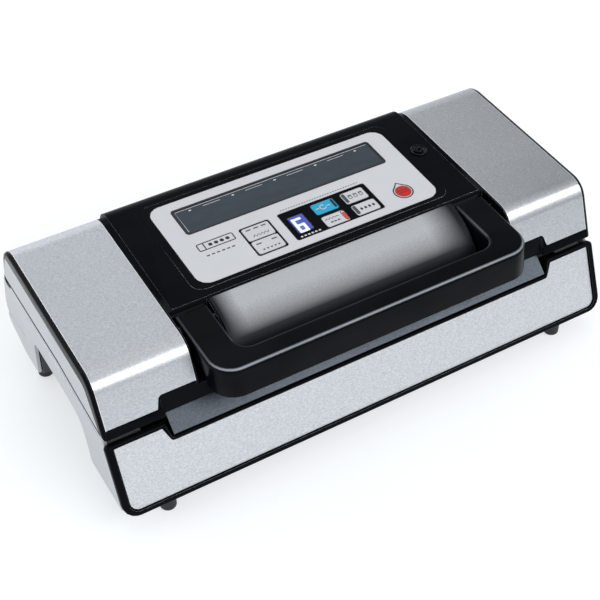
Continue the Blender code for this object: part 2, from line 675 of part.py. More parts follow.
def front_y(z, depth=0.0):
    """Y of the base's front plane at a height, or of a plane that lies behind it by a depth."""
    return FRONT_Y + (z - BASE_Z) * math.tan(FRONT_LEAN) + depth / math.cos(FRONT_LEAN)


def base_outline(inset=0.0, arch=True):
    """Side view of the base behind the bezel, anticlockwise from its lower front corner."""
    behind = BEZEL_DEPTH + GAP + inset
    low = BASE_Z + inset
    corners = [(front_y(low, behind), low, 0.004)]
    if arch:
        corners += [(-0.0500, low, 0.003), (-0.0400, ARCH_TOP - 0.0040, 0.016),
                    (-0.0120, ARCH_TOP, 0.030), (0.0500, ARCH_TOP, 0.009), (0.0530, low, 0.001)]
    corners += [(0.0800, low, 0.006), (0.1095 - inset, 0.0330, 0.010), (REAR_Y - inset, 0.0500, 0.012),
                (HINGE_Y + HINGE_R + 0.0030 - inset, HINGE_Z - 0.0040, 0.0015)]
    scoop = HINGE_R + 0.0005 + inset
    corners += [(y, z, 0) for y, z in arc(HINGE_Y, HINGE_Z, scoop, -40, -170, 5)]
    level = HINGE_Z - GAP - inset
    front = front_y(part_z(-0.083), behind)
    corners += [(HINGE_Y - scoop, level, 0), (PART_BEND_Y, level, 0), (front, part_z(front) - GAP - inset, 0)]
    return rounded(corners, 5)


def base_housing():
    """Lower tub, open above, with a hand recess behind each arch and ears that hold the hinge rod."""
    shelf, ledge = 0.0695, HINGE_Z - 0.0010
    rest = WALL + GAP
    split = HINGE_Y - HINGE_R - 0.0041
    outline = [p for p in base_outline(0.0, arch=False) if p[1] < shelf or p[0] > 0.0870]
    while outline[-1][1] > ledge:
        outline.pop()
    outline += [(HINGE_Y - HINGE_R - 0.0005, ledge), (split, ledge), (split, deck_z(0) - rest),
                (PART_BEND_Y, deck_z(0) - rest), (-0.0765, deck_z(-0.0765) - rest), (-0.0765, shelf),
                (front_y(shelf, BEZEL_DEPTH + GAP), shelf)]
    housing = across("base_housing", outline, -PANEL_X + SKIRT + GAP, PANEL_X - SKIRT - GAP, DARK)
    inner = [p for p in base_outline(WALL, arch=False) if p[1] < shelf]
    inner += [(0.1040, 0.0740), (split - 0.0020, 0.0740), (split - 0.0020, 0.0900),
              (front_y(shelf, BEZEL_DEPTH + GAP + WALL), 0.0900)]
    boolean(housing, [across("tub", inner, -TUB_X, TUB_X)])
    posts = []
    for x, y in foot_places()[:2]:
        post = turned("post", [(0, BASE_Z + 0.001), (0.006, BASE_Z + 0.001), (0.006, 0.033), (0, 0.033)],
                      (x, y, 0), steps=12)
        behind = BEZEL_DEPTH + 2 * GAP
        front = [(-0.2, 0.0), (front_y(0.0, behind), 0.0), (front_y(0.1, behind), 0.1), (-0.2, 0.1)]
        posts.append(boolean(post, [across("front", front, -0.3, 0.3)]))
    for side in (-1, 1):
        x0, x1 = sorted((side * EAR_X0, side * EAR_X1))
        ear = [(HINGE_Y - EAR_R, HINGE_Z - 0.0100), (HINGE_Y + EAR_R, HINGE_Z - 0.0100)]
        ear += arc(HINGE_Y, HINGE_Z, EAR_R, 0, 180, 8)
        posts.append(across("ear", ear, x0, x1))
    join(housing, posts)
    arch = [(-0.0480, 0.0), (0.0510, 0.0), (0.0500, ARCH_TOP), (-0.0150, ARCH_TOP),
            (-0.0400, ARCH_TOP - 0.0040)]
    cuts = []
    for side in (-1, 1):
        x0, x1 = sorted((side * (TUB_X + WALL), side * (PANEL_X + 0.0020)))
        cuts.append(across("grip", arch, x0, x1))
    for x, y in foot_places():
        hole = [(0, 0), (0.0019, 0), (0.0019, 0.0300), (0, 0.0300)]
        cuts.append(turned("screw_hole", hole, (x, y, 0), steps=10))
    cuts.append(turned("gland_hole", [(0, -0.02), (0.0063, -0.02), (0.0063, 0.02), (0, 0.02)],
                       (0.1500, 0.1050, 0.0480), "Y", 16))
    bore = ROD_R + GAP
    cuts.append(turned("rod_bore", [(0, -0.207), (bore, -0.207), (bore, 0.207), (0, 0.207)],
                       (0, HINGE_Y, HINGE_Z), "X", 12))
    return smooth(boolean(housing, cuts))


def foot_places():
    return [(side * x, y) for x, y in FEET.values() for side in (-1, 1)]


def end_panel(word, side):
    """Silver end panel with an arched opening, and a raised field round the arch."""
    inner, face = PANEL_X - SKIRT, PANEL_X - 0.0006
    x0, x1 = sorted((side * inner, side * face))
    panel = across(f"{word}_end_panel", base_outline(), x0, x1, SILVER)
    field = across("field", base_outline(), *sorted((side * (face - 0.001), side * PANEL_X)))
    edge = rounded(
        [
            (0.1300, 0.0370, 0), (0.0720, 0.0430, 0.004), (0.0560, HINGE_Z - 0.0055, 0.014),
            (PART_BEND_Y, HINGE_Z - 0.0055, 0.02), (-0.1300, part_z(-0.1300) - 0.0050, 0),
            (-0.1300, 0.2, 0), (0.1300, 0.2, 0),
        ],
        5,
    )
    boolean(field, [across("upper", edge, -0.3, 0.3)])
    return smooth(join(panel, [field]), 30)


def plate_outline(grow=0.0):
    """The front plate in the front plane: a rectangle with a notch in its top edge."""
    low, high, dip = 0.0049 - grow, 0.0563 + grow, 0.0445 + grow
    side, wide, narrow = 0.2086 + grow, 0.1714 - grow, 0.1664 - grow
    return rounded(
        [
            (-side, low, 0.0070), (side, low, 0.0070), (side, high, 0.0008), (wide, high, 0.0010),
            (narrow, dip, 0.0030), (-narrow, dip, 0.0030), (-wide, high, 0.0010), (-side, high, 0.0008),
        ],
        4,
    )


def front_bezel():
    """Black frame round the front plate, in the leaning front plane."""
    high, dip = FRONT_HEIGHT, 0.0475
    outline = rounded(
        [
            (-BEZEL_X, 0, 0.0120), (BEZEL_X, 0, 0.0120), (BEZEL_X, high, 0.0030), (0.1685, high, 0),
            (0.1655, dip, 0.0010), (-0.1655, dip, 0.0010), (-0.1685, high, 0), (-BEZEL_X, high, 0.0030),
        ],
        5,
    )
    sections = []
    steps = ((0.0010, -BEZEL_DEPTH), (0, 0.0010 - BEZEL_DEPTH), (0, -0.0018), (0.0007, -0.0005), (0.0019, 0))
    for inset, w in steps:
        sections.append([(x, v, w) for x, v in grown(outline, -inset)])
    bezel = loft("front_bezel", sections, BLACK)
    boolean(bezel, [upright("seat", plate_outline(0.0007), -0.0024 - GAP, 0.02)])
    return smooth(on_front(bezel), 30)


def front_plate():
    return smooth(on_front(upright("front_plate", plate_outline(), -0.0024, -0.0012, STEEL)))


def finger_trough():
    """Dark steel strip that slopes back under the handle bar."""
    outline = [(-0.0930, 0.0650), (-0.0922, 0.0644), (-0.0796, 0.0750), (-0.0772, 0.0750), (-0.0772, 0.0760),
               (-0.0804, 0.0760)]
    return across("finger_trough", outline, -0.1645, 0.1645, TROUGH)


def deck_z(y):
    return part_z(y) - 0.0010


def base_deck():
    """Upper moulding of the base, with the vacuum channel, cutter trench and roll bay."""
    y0, y1 = -0.0820, HINGE_Y - HINGE_R - 0.0045
    outline = [(y0, deck_z(y0) - WALL), (PART_BEND_Y, deck_z(0) - WALL), (y1, deck_z(0) - WALL),
               (y1, deck_z(0)), (PART_BEND_Y, deck_z(0)), (y0, deck_z(y0))]
    half = PANEL_X - SKIRT - GAP
    deck = across("base_deck", outline, -half, half, DARK)
    x0, cy0, x1, cy1 = CHANNEL
    rim = 0.0018
    tubs = [box("channel", (x0 - rim, cy0 - rim, CHANNEL_FLOOR - rim), (x1 + rim, cy1 + rim, 0.0790))]
    tx0, ty0, tx1, ty1 = TRENCH
    tubs.append(box("trench", (tx0 - rim, ty0 - rim, TRENCH_FLOOR - rim), (tx1 + rim, ty1 + rim, 0.0840)))
    bay = [(BAY_Y0 - rim, BAY_FLOOR - rim, BAY_ROUND), (BAY_Y1 + rim, BAY_FLOOR - rim, BAY_ROUND),
           (BAY_Y1 + rim, 0.0840, 0), (BAY_Y0 - rim, 0.0840, 0)]
    tubs.append(across("bay", rounded(bay, 6), -BAY_X - rim, BAY_X + rim))
    tubs.append(box("bar_tub", (-BAR_X - 0.0023, BAR_Y - 0.0083, BAR_FLOOR - rim),
                    (BAR_X + 0.0023, BAR_Y + 0.0083, 0.0765)))
    join(deck, tubs)
    cuts = [box("channel", (x0, cy0, CHANNEL_FLOOR), (x1, cy1, 0.1)),
            box("trench", (tx0, ty0, TRENCH_FLOOR), (tx1, ty1, 0.1))]
    bay = [(BAY_Y0, BAY_FLOOR, BAY_ROUND), (BAY_Y1, BAY_FLOOR, BAY_ROUND), (BAY_Y1, 0.1, 0),
           (BAY_Y0, 0.1, 0)]
    cuts.append(across("bay", rounded(bay, 6), -BAY_X, BAY_X))
    cuts.append(box("bar_seat", (-BAR_X - 0.0005, BAR_Y - 0.0065, BAR_FLOOR),
                    (BAR_X + 0.0005, BAR_Y + 0.0065, 0.1)))
    cuts.append(box("trough_gap", (-0.1650, -0.1, 0.05), (0.1650, -0.0768, 0.1)))
    cuts.append(gasket("groove", -0.0023, 0.0100, 0.0035, 0.0020))
    for side in (-1, 1):
        sx0, sx1 = sorted((side * (HOOK_X - 0.0035), side * (HOOK_X + 0.0035)))
        cuts.append(box("hook_slot", (sx0, -0.0740, 0.060), (sx1, -0.0400, 0.100)))
    cuts.append(turned("suction_hole", [(0, 0.05), (0.0022, 0.05), (0.0022, 0.07), (0, 0.07)],
                       (-0.0300, -0.0330, 0), steps=12))
    return smooth(boolean(deck, cuts))


def drip_tray():
    """Lift-out tray in the vacuum channel."""
    slack, wall = 0.0008, 0.0014
    x0, y0, x1, y1 = (CHANNEL[0] + slack, CHANNEL[1] + slack, CHANNEL[2] - slack, CHANNEL[3] - slack)
    low, high = CHANNEL_FLOOR + GAP, 0.0778
    tray = upright("drip_tray", block(x0, y0, x1, y1, 0.003), low, high, DARK)
    inner = block(x0 + wall, y0 + wall, x1 - wall, y1 - wall, 0.002)
    inner = upright("inner", inner, low + wall, high + 0.01)
    return smooth(boolean(tray, [inner]))


def on_slope(name, y0, y1, low, high, x, finish):
    """A strip along X that lies on the deck's slope between two heights above the parting line."""
    outline = [(y0, part_z(y0) + low), (y1, part_z(y1) + low), (y1, part_z(y1) + high),
               (y0, part_z(y0) + high)]
    return across(name, outline, -x, x, finish)


def sealing_parts():
    y0, y1 = BAR_Y - 0.0060, BAR_Y + 0.0060
    bar = [(y0, BAR_FLOOR + GAP), (y1, BAR_FLOOR + GAP), (y1, part_z(y1) - 0.0009), (y0, part_z(y0) - 0.0009)]
    across("sealing_bar", bar, -BAR_X, BAR_X, SILICONE)
    on_slope("heating_strip", BAR_Y - 0.0020, BAR_Y + 0.0020, -0.0006, -0.0004, BAR_X - 0.003, STEEL)
    on_slope("ptfe_tape", BAR_Y - 0.0045, BAR_Y + 0.0045, -0.0002, 0.0, BAR_X - 0.001, COPPER)


def cutter_parts():
    y = TRENCH_Y
    half, low, step, top = 0.0050, TRENCH_FLOOR + GAP, TRENCH_FLOOR + 0.0018, TRENCH_FLOOR + 0.0036
    narrow = 0.0022
    rail = [(y - half, low), (y + half, low), (y + half, step), (y + narrow, step), (y + narrow, top),
            (y - narrow, top), (y - narrow, step), (y - half, step)]
    across("cutter_rail", rail, -0.1620, 0.1620, LIGHT)
    x = CUTTER_X
    slider = box("cutter_slider", (x - 0.0090, y - 0.0050, TRENCH_FLOOR + 0.0021),
                 (x + 0.0090, y + 0.0050, TRENCH_FLOOR + 0.0092), BLUE)
    groove = box("groove", (x - 0.02, y - 0.0025, 0.05), (x + 0.02, y + 0.0025, TRENCH_FLOOR + 0.0039))
    slit = box("slit", (x - 0.0040, y - 0.0007, TRENCH_FLOOR + 0.0055), (x + 0.0040, y + 0.0007, 0.1))
    boolean(slider, [groove, slit])
    blade = [(x - 0.0037, 0), (x + 0.0037, 0), (x + 0.0037, 0.0022), (x - 0.0037, 0.0034)]
    z = TRENCH_FLOOR + 0.0058
    loft("cutter_blade", [[(a, y + d, z + b) for a, b in blade] for d in (-0.0004, 0.0004)], STEEL)


def pump_parts():
    """Diaphragm pump: motor can, head and the eccentric shaft that turns in the head."""
    y, z, face = PUMP_Y, PUMP_Z, PUMP_FACE_X
    can = [(0, face - 0.0450), (0.0050, face - 0.0450), (0.0050, face - 0.0430), (0.0135, face - 0.0430),
           (0.0135, face - 0.0012), (0.0060, face), (0, face)]
    smooth(turned("pump_motor", can, (0, y, z), "X", finish=STEEL))
    head = box("pump_head", (face + GAP, y - 0.0190, 0.0235), (face + 0.0240, y + 0.0190, 0.0575), DARK)
    boolean(head, [turned("cavity", [(0, -0.2), (0.0075, -0.2), (0.0075, face + 0.0210), (0, face + 0.0210)],
                          (0, y, z), "X", 16)])
    shaft = turned("pump_shaft", [(0, face + 0.0010), (0.0020, face + 0.0010), (0.0020, face + 0.0190),
                                  (0, face + 0.0190)], (0, y, z), "X", 12, STEEL)
    join(shaft, [turned("eccentric", [(0, face + 0.0060), (0.0045, face + 0.0060), (0.0045, face + 0.0120),
                                      (0, face + 0.0120)], (0, y, z + 0.0015), "X", 12)])
    smooth(shaft)


def vacuum_hose():
    """Rubber hose from the valve up to the floor of the vacuum channel."""
    y = -0.0330
    centre = [(-0.0520, 0.0400)] + arc(-0.0400, 0.0500, 0.0100, -90, 0, 6)[1:] + [(-0.0300, 0.0590)]
    centre[1:1] = [(-0.0400, 0.0400)]
    sections = {}
    for radius in (0.0034, 0.0018):
        rows = []
        for i, (x, z) in enumerate(centre):
            near, far = centre[max(i - 1, 0)], centre[min(i + 1, len(centre) - 1)]
            ahead = Vector((far[0] - near[0], 0, far[1] - near[1])).normalized()
            out = ahead.cross(Vector((0, 1, 0)))
            turns = [2 * math.pi * k / 10 for k in range(10)]
            wide = Vector((0, radius, 0))
            rows.append([Vector((x, y, z)) + out * radius * math.cos(t) + wide * math.sin(t) for t in turns])
        sections[radius] = rows
    hose = loft("vacuum_hose", sections[0.0034], RUBBER)
    bore = sections[0.0018]
    bore[0] = [p - Vector((0.001, 0, 0)) for p in bore[0]]
    bore[-1] = [p + Vector((0, 0, 0.001)) for p in bore[-1]]
    return smooth(boolean(hose, [loft("bore", bore)]))


def electrics():
    valve = [(0, -0.0800), (0.0085, -0.0800), (0.0085, -0.0620), (0.0045, -0.0620), (0.0045, -0.0524),
             (0, -0.0524)]
    smooth(turned("solenoid_valve", valve, (0, -0.0330, 0.0400), "X", 16, STEEL))
    core = box("transformer", (0.0700, -0.0600, 0.0238), (0.1150, -0.0180, 0.0540), STEEL)
    join(core, [box("winding", (0.0780, -0.0680, 0.0270), (0.1070, -0.0100, 0.0500))])
    board = box("power_board", (-0.0200, -0.0700, 0.0260), (0.0550, -0.0180, 0.0276), GREEN)
    parts = [box("relay", (-0.0120, -0.0640, 0.0270), (0.0050, -0.0500, 0.0420)),
             box("bridge", (0.0300, -0.0400, 0.0270), (0.0330, -0.0240, 0.0420)),
             box("plug", (0.0100, -0.0300, 0.0270), (0.0260, -0.0240, 0.0360))]
    parts.append(turned("capacitor", [(0, 0.0270), (0.0060, 0.0270), (0.0060, 0.0480), (0, 0.0480)],
                        (0.0450, -0.0600, 0), steps=14))
    join(board, parts)
    box("lid_switch", (-0.1728, -0.0300, 0.0660), (-0.1650, -0.0200, 0.0795), DARK)


def cable_gland():
    """Collar in the rear wall where the mains cable enters."""
    profile = [(0.0032, -0.0050), (0.0060, -0.0050), (0.0060, 0.0085), (0.0032, 0.0085)]
    return smooth(turned("cable_gland", profile, (0.1500, 0.1045, 0.0480), "Y", 16, RUBBER))


def feet_and_screws():
    for row, (x, y) in FEET.items():
        for word, side in (("left", -1), ("right", 1)):
            top = BASE_Z - GAP
            foot = [(0.0036, 0), (FOOT_R - 0.0008, 0), (FOOT_R, 0.0010), (FOOT_R, top), (0.0022, top),
                    (0.0022, 0.0100), (0.0036, 0.0100)]
            smooth(turned(f"{row}_{word}_foot", foot, (side * x, y, 0), steps=16, finish=RUBBER))
            screw = [(0, 0.0070), (0.0030, 0.0070), (0.0033, 0.0097), (0.0016, 0.0097),
                     (0.0016, 0.0280), (0, 0.0290)]
            smooth(turned(f"{row}_{word}_screw", screw, (side * x, y, 0), steps=10, finish=STEEL))


def catch(word, side):
    """Steel plate under the deck that the hook's nose locks behind."""
    x = side * HOOK_X
    y = PIVOT_Y + 0.0018 + 0.0010
    return box(f"{word}_catch", (x - 0.0055, y, 0.0754), (x + 0.0055, y + 0.0120, 0.0766), STEEL)


def hinge_rod():
    profile = [(0, -0.2060), (ROD_R, -0.2060), (ROD_R, 0.2060), (0, 0.2060)]
    return smooth(turned("hinge_rod", profile, (0, HINGE_Y, HINGE_Z), "X", 12, STEEL))


def hang(axis, place, names):
    """Parents pieces to an empty on their joint's axis, and puts their origins there."""
    empty = bpy.data.objects.new(axis, None)
    bpy.context.scene.collection.objects.link(empty)
    empty.location = place
    for name in names:
        piece = bpy.data.objects[name]
        piece.data.transform(Matrix.Translation(-Vector(place)))
        piece.parent = empty


def hang_moving_pieces():
    lid = ["lid_frame", "left_cover", "right_cover", "left_skirt", "right_skirt", "centre_cover",
           "label_panel", "window_lens", "display_lens", "accessory_port", "control_board", "lid_liner",
           "upper_gasket", "pressure_pad"]
    hang("lid_axis", (0, HINGE_Y, HINGE_Z), lid)
    hang("handle_axis", (0, PIVOT_Y, PIVOT_Z), ["handle", "lock_shaft", "left_hook", "right_hook"])
    for name, (x0, y0, x1, y1) in KEYS.items():
        x, y = (x0 + x1) / 2, (y0 + y1) / 2
        hang(f"{name}_axis", (x, y, top_z(y)), [name])
    hang("stop_key_axis", (STOP_X, STOP_Y, top_z(STOP_Y)), ["stop_key"])
    hang("cutter_axis", (CUTTER_X, TRENCH_Y, TRENCH_FLOOR), ["cutter_slider", "cutter_blade"])
    hang("tray_axis", (0, (CHANNEL[1] + CHANNEL[3]) / 2, CHANNEL_FLOOR), ["drip_tray"])
    hang("pump_axis", (PUMP_FACE_X, PUMP_Y, PUMP_Z), ["pump_shaft"])


def main():
    for leftover in list(bpy.data.objects):
        bpy.data.objects.remove(leftover)
    lid_frame()
    both_sides(steel_cover)
    both_sides(silver_skirt)
    centre_cover()
    label_panel()
    lens("window_lens", WINDOW, 0.0015)
    lens("display_lens", DISPLAY, 0.0008)
    for name, place in KEYS.items():
        press_key(name, place, BLUE if name == "auto_key" else LIGHT)
    stop_key()
    accessory_port()
    control_board()
    lid_liner()
    gasket("upper_gasket", 0.0005, 0.0026, 0.0035, finish=RUBBER)
    pressure_pad()
    handle()
    lock_shaft()
    both_sides(hook)
    base_housing()
    both_sides(end_panel)
    front_bezel()
    front_plate()
    finger_trough()
    base_deck()
    drip_tray()
    gasket("lower_gasket", -0.0020, 0.0002, 0.0035, finish=RUBBER)
    sealing_parts()
    cutter_parts()
    pump_parts()
    vacuum_hose()
    electrics()
    cable_gland()
    feet_and_screws()
    both_sides(catch)
    hinge_rod()
    hang_moving_pieces()


main()
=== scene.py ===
"""Looks of a countertop vacuum sealer: finishes, fine edges, printed icons, light and camera."""
import json
import math

import bmesh
import bpy
from mathutils import Matrix, Vector


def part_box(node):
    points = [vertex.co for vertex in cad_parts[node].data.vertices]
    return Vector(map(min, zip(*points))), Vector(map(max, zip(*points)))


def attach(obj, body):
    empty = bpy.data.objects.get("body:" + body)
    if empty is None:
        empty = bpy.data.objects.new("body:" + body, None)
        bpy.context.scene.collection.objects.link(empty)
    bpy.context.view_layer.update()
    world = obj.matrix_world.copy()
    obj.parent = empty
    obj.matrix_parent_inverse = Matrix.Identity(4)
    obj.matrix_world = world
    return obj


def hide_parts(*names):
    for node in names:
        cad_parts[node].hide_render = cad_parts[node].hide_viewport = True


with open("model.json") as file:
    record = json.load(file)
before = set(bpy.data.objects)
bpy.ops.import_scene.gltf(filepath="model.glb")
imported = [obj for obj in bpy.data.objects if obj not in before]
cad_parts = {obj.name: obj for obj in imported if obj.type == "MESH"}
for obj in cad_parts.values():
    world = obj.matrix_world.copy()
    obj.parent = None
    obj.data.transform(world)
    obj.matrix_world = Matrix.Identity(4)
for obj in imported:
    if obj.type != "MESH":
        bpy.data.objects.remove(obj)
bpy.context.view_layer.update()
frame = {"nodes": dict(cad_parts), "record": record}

# The lid's top plane, then heights above it: the console's face, a key's cap, and ink on either
TOP_Z, TOP_TILT = 0.1250, math.radians(2.3)
BLOCK_TOP, KEY_TOP, INK_LIFT = 0.0014, 0.0018, 0.00002
# How far the display's lens and the marks on the window lie below the console's face
DISPLAY_SUNK, WINDOW_SUNK = 0.0002, 0.00018

# Places on that plane: each key, the display, the window, and the middle of the stop key
KEYS = {
    "sealing_key": (-0.0521, -0.0022, -0.0294, 0.0122),
    "pressure_key": (-0.0521, -0.0180, -0.0294, -0.0036),
    "auto_key": (0.0074, -0.0014, 0.0273, 0.0107),
    "manual_key": (0.0078, -0.0172, 0.0277, -0.0052),
    "canister_key": (0.0342, -0.0019, 0.0541, 0.0109),
    "marinate_key": (0.0347, -0.0172, 0.0553, -0.0052),
}
DISPLAY = (-0.0150, -0.0125, -0.0020, 0.0073)
WINDOW = (-0.0883, 0.0277, 0.0883, 0.0560)
STOP = (0.0806, -0.0097)

# Where painted shade and a painted reflection of the handle darken the silver centre cover: at its right end,
# its left end and its lower edge
COVER_END = 0.1055
PAINTED_SHADE_RIGHT = (0.074, COVER_END - 0.004)
PAINTED_SHADE_LEFT = (0.002 - COVER_END, 0.018 - COVER_END)
PAINTED_SHADE_FOOT = (0.1073, 0.1205)

# Cleaning of CAD meshes: vertices closer than WELD are one, faces within FLAT are one,
# edges sharper than SHARP stay sharp, and edges sharper than EASED are eased
WELD, FLAT, SHARP, EASED = 2e-6, math.radians(0.4), math.radians(40), math.radians(28)
# Thickness of the bright edge of a steel cover, a real sheared edge drawn in a brighter steel as a painted
# highlight, and how far its corners are eased
SHEARED, SHEARED_EASE = 0.0005, 0.00012

# The floor's glow: its centre, its strength near and far, and the distances between which it fades
GLOW_CENTRE, GLOW, GLOW_FADE = (-0.60, 0.10, 0.0), (0.60, 0.08), (1.15, 3.0)
# The surroundings: from and to along an axis, and the strengths there, multiplied together
SKY_HEIGHT = (0.52, 0.82, 1.25, 0.48)
SKY_SIDE = (0.25, 0.70, 1.0, 0.30)
SKY_FRONT = (-0.9, 0.1, 0.55, 1.0)
# Each area light: its name, place, aim, size and power
LIGHTS = [
    ("front_strip", (1.00, -1.95, 1.90), (0.05, -0.08, 0.12), (2.6, 0.95), 38),
    ("overhead_fill", (0.20, 0.10, 2.40), (0, 0, 0), (2.6, 2.6), 10),
    ("left_softbox", (-1.75, 1.55, 1.05), (0, 0, 0.1), (1.0, 0.8), 5),
]
# Direction from the object to the camera, the camera's place and its lens
VIEW_AZIMUTH, VIEW_ELEVATION = math.radians(-30.58), math.radians(43.36)
CAMERA_PLACE, CAMERA_LENS = (-0.3795, -0.6299, 0.7344), 75.0

# Finishes: the part of a texture's range that flakes and brush lines use, a rounded edge's radius,
# and the pale colour of a painted highlight that edges of polished black blend towards
FLAKES, EDGE = (0.36, 0.64), 0.0003
PAINTED_HIGHLIGHT_COLOUR = (0.80, 0.86, 0.95, 1)

# ---------------------------------------------------------------- materials


class Finish:
    """A material under construction: its node tree, its shader and its object coordinates."""

    def __init__(self, name, colour, roughness, metallic=0.0, **sockets):
        self.material = bpy.data.materials.new(name)
        self.material.use_nodes = True
        self.tree = self.material.node_tree
        self.shader = self.tree.nodes["Principled BSDF"]
        self.set(self.shader, "Base Color", (*colour, 1))
        self.set(self.shader, "Roughness", roughness)
        self.set(self.shader, "Metallic", metallic)
        for socket, value in sockets.items():
            self.set(self.shader, socket.replace("_", " "), value)
        self.coords = self.tree.nodes.new("ShaderNodeTexCoord").outputs["Object"]
        self.normal = None

    @staticmethod
    def set(node, socket, value):
        node.inputs[socket].default_value = value

    def link(self, out, socket, node=None):
        self.tree.links.new(out, (node or self.shader).inputs[socket])

    def noise(self, scale, stretch=(1, 1, 1), detail=3.0, rough=0.6):
        place = self.tree.nodes.new("ShaderNodeMapping")
        self.set(place, "Scale", stretch)
        self.link(self.coords, "Vector", place)
        made = self.tree.nodes.new("ShaderNodeTexNoise")
        self.set(made, "Scale", scale)
        self.set(made, "Detail", detail)
        self.set(made, "Roughness", rough)
        self.link(place.outputs["Vector"], "Vector", made)
        return made.outputs["Fac"]

    def spread(self, value, low, high, at=(0.3, 0.7)):
        """Maps a texture value onto a range of numbers."""
        made = self.tree.nodes.new("ShaderNodeMapRange")
        for socket, number in zip(("From Min", "From Max", "To Min", "To Max"), (*at, low, high)):
            self.set(made, socket, number)
        self.link(value, "Value", made)
        return made.outputs["Result"]

    def tint(self, value, first, second, at=(0.3, 0.7)):
        """Maps a texture value onto a blend between two colours."""
        made = self.tree.nodes.new("ShaderNodeValToRGB")
        for stop, place, colour in zip(made.color_ramp.elements, at, (first, second)):
            stop.position = place
            stop.color = (*colour, 1)
        self.link(value, "Fac", made)
        return made.outputs["Color"]

    def bump(self, value, distance, strength=1.0):
        made = self.tree.nodes.new("ShaderNodeBump")
        self.set(made, "Distance", distance)
        self.set(made, "Strength", strength)
        self.link(value, "Height", made)
        if self.normal:
            self.link(self.normal, "Normal", made)
        self.normal = made.outputs["Normal"]
        self.link(self.normal, "Normal")

    def facing_parts(self):
        """X, Y and Z of the eased normal in the piece's own frame, so that they hold as the piece moves."""
        turned = self.tree.nodes.new("ShaderNodeVectorTransform")
        turned.vector_type, turned.convert_from, turned.convert_to = "NORMAL", "WORLD", "OBJECT"
        self.link(self.normal, "Vector", turned)
        made = self.tree.nodes.new("ShaderNodeSeparateXYZ")
        self.link(turned.outputs["Vector"], "Vector", made)
        return made.outputs

    def product(self, first, second):
        made = self.tree.nodes.new("ShaderNodeMath")
        made.operation = "MULTIPLY"
        self.link(first, 0, made)
        self.link(second, 1, made)
        return made.outputs["Value"]

    def paint_highlight(self, factor, first):
        """Blends a textured colour towards the pale colour of a painted highlight."""
        made = self.tree.nodes.new("ShaderNodeMix")
        made.data_type = "RGBA"
        self.link(factor, 0, made)
        self.link(first, 6, made)
        self.set(made, 7, PAINTED_HIGHLIGHT_COLOUR)
        return made.outputs[2]

    def polish(self, colour, roughness):
        """Slow drift of a polished black's tone and roughness: its texture value and its colour."""
        flow = self.noise(35.0, (0.5, 1, 1), 2.0)
        self.link(self.spread(flow, roughness * 0.9, roughness * 1.15), "Roughness")
        return flow, self.tint(flow, shade(colour, 0.85), shade(colour, 1.3))

    def round_edges(self, radius=EDGE):
        made = self.tree.nodes.new("ShaderNodeBevel")
        made.samples = 4
        self.set(made, "Radius", radius)
        self.normal = made.outputs["Normal"]
        self.link(self.normal, "Normal")


def shade(colour, factor):
    return tuple(min(1.0, c * factor) for c in colour)


def brushed(name, colour, roughness, grain, rounded=True):
    """Satin steel with short, fine brush lines along X."""
    made = Finish(name, colour, roughness, 1.0)
    if rounded:
        made.round_edges()
    fine = made.noise(1.0, (560, 1500, 1500), 2.0, 0.7)
    speck = made.noise(1.0, (1100, 2400, 2400), 2.0, 0.6)
    cloud = made.noise(22.0, (0.6, 1, 1), 3.0)
    made.link(made.tint(fine, shade(colour, 1 - grain), shade(colour, 1 + grain), FLAKES), "Base Color")
    made.link(made.spread(cloud, roughness - 0.03, roughness + 0.04), "Roughness")
    made.bump(speck, 0.000004, 0.3)
    made.bump(fine, 0.000004, 0.3)
    return made.material


def gloss_black(name, colour, roughness, shine, painted_highlight):
    """Polished black moulding: dark on its faces, with a painted highlight in pale colour along its hard
    edges that face up.
    """
    made = Finish(name, colour, roughness)
    made.round_edges()
    plain = made.tree.nodes.new("ShaderNodeNewGeometry").outputs["Normal"]
    facing = made.tree.nodes.new("ShaderNodeVectorMath")
    facing.operation = "DOT_PRODUCT"
    made.link(plain, 0, facing)
    made.link(made.normal, 1, facing)
    rim = made.spread(facing.outputs["Value"], 1.0, 0.0, (0.90, 0.995))
    lifted = made.product(rim, made.spread(made.facing_parts()["Z"], 0.0, 1.0, (0.35, 0.70)))
    flow, dark = made.polish(colour, roughness)
    line = made.product(lifted, made.spread(flow, painted_highlight, painted_highlight * 1.2))
    made.link(made.paint_highlight(line, dark), "Base Color")
    made.link(made.spread(made.product(rim, flow), shine, 1.0, (0.0, 0.5)), "Specular IOR Level")
    return made.material


def gloss_handle(name, colour, roughness, shine, painted_highlight):
    """Polished black grip, with a painted highlight in pale colour along the rounding between its top and its
    front.
    """
    made = Finish(name, colour, roughness)
    made.round_edges(0.0010)
    axes = made.facing_parts()
    turned = made.product(made.spread(axes["Z"], 0.0, 1.0, (0.62, 0.76)),
                          made.spread(axes["Z"], 1.0, 0.0, (0.86, 0.97)))
    ahead = made.spread(axes["Y"], 1.0, 0.10, (-0.55, 0.10))
    flow, dark = made.polish(colour, roughness)
    line = made.product(made.product(turned, ahead), made.spread(flow, painted_highlight * 0.8, painted_highlight * 1.1))
    made.link(made.paint_highlight(line, dark), "Base Color")
    made.link(made.spread(flow, shine, shine * 1.3), "Specular IOR Level")
    return made.material


def satin(name, colour, roughness, flake):
    """Silver paint: fine bright flakes over a faint orange-peel surface."""
    made = Finish(name, colour, roughness, 0.55)
    made.round_edges()
    flakes = made.noise(1500.0, (1, 1, 1), 2.0, 0.7)
    cloud = made.noise(18.0, (1, 1, 1), 3.0)
    tone = made.tint(flakes, shade(colour, 1 - flake), shade(colour, 1 + flake), FLAKES)
    made.link(tone, "Base Color")
    made.link(made.spread(cloud, roughness - 0.05, roughness + 0.05), "Roughness")
    made.bump(flakes, 0.00002, 0.5)
    return made.material


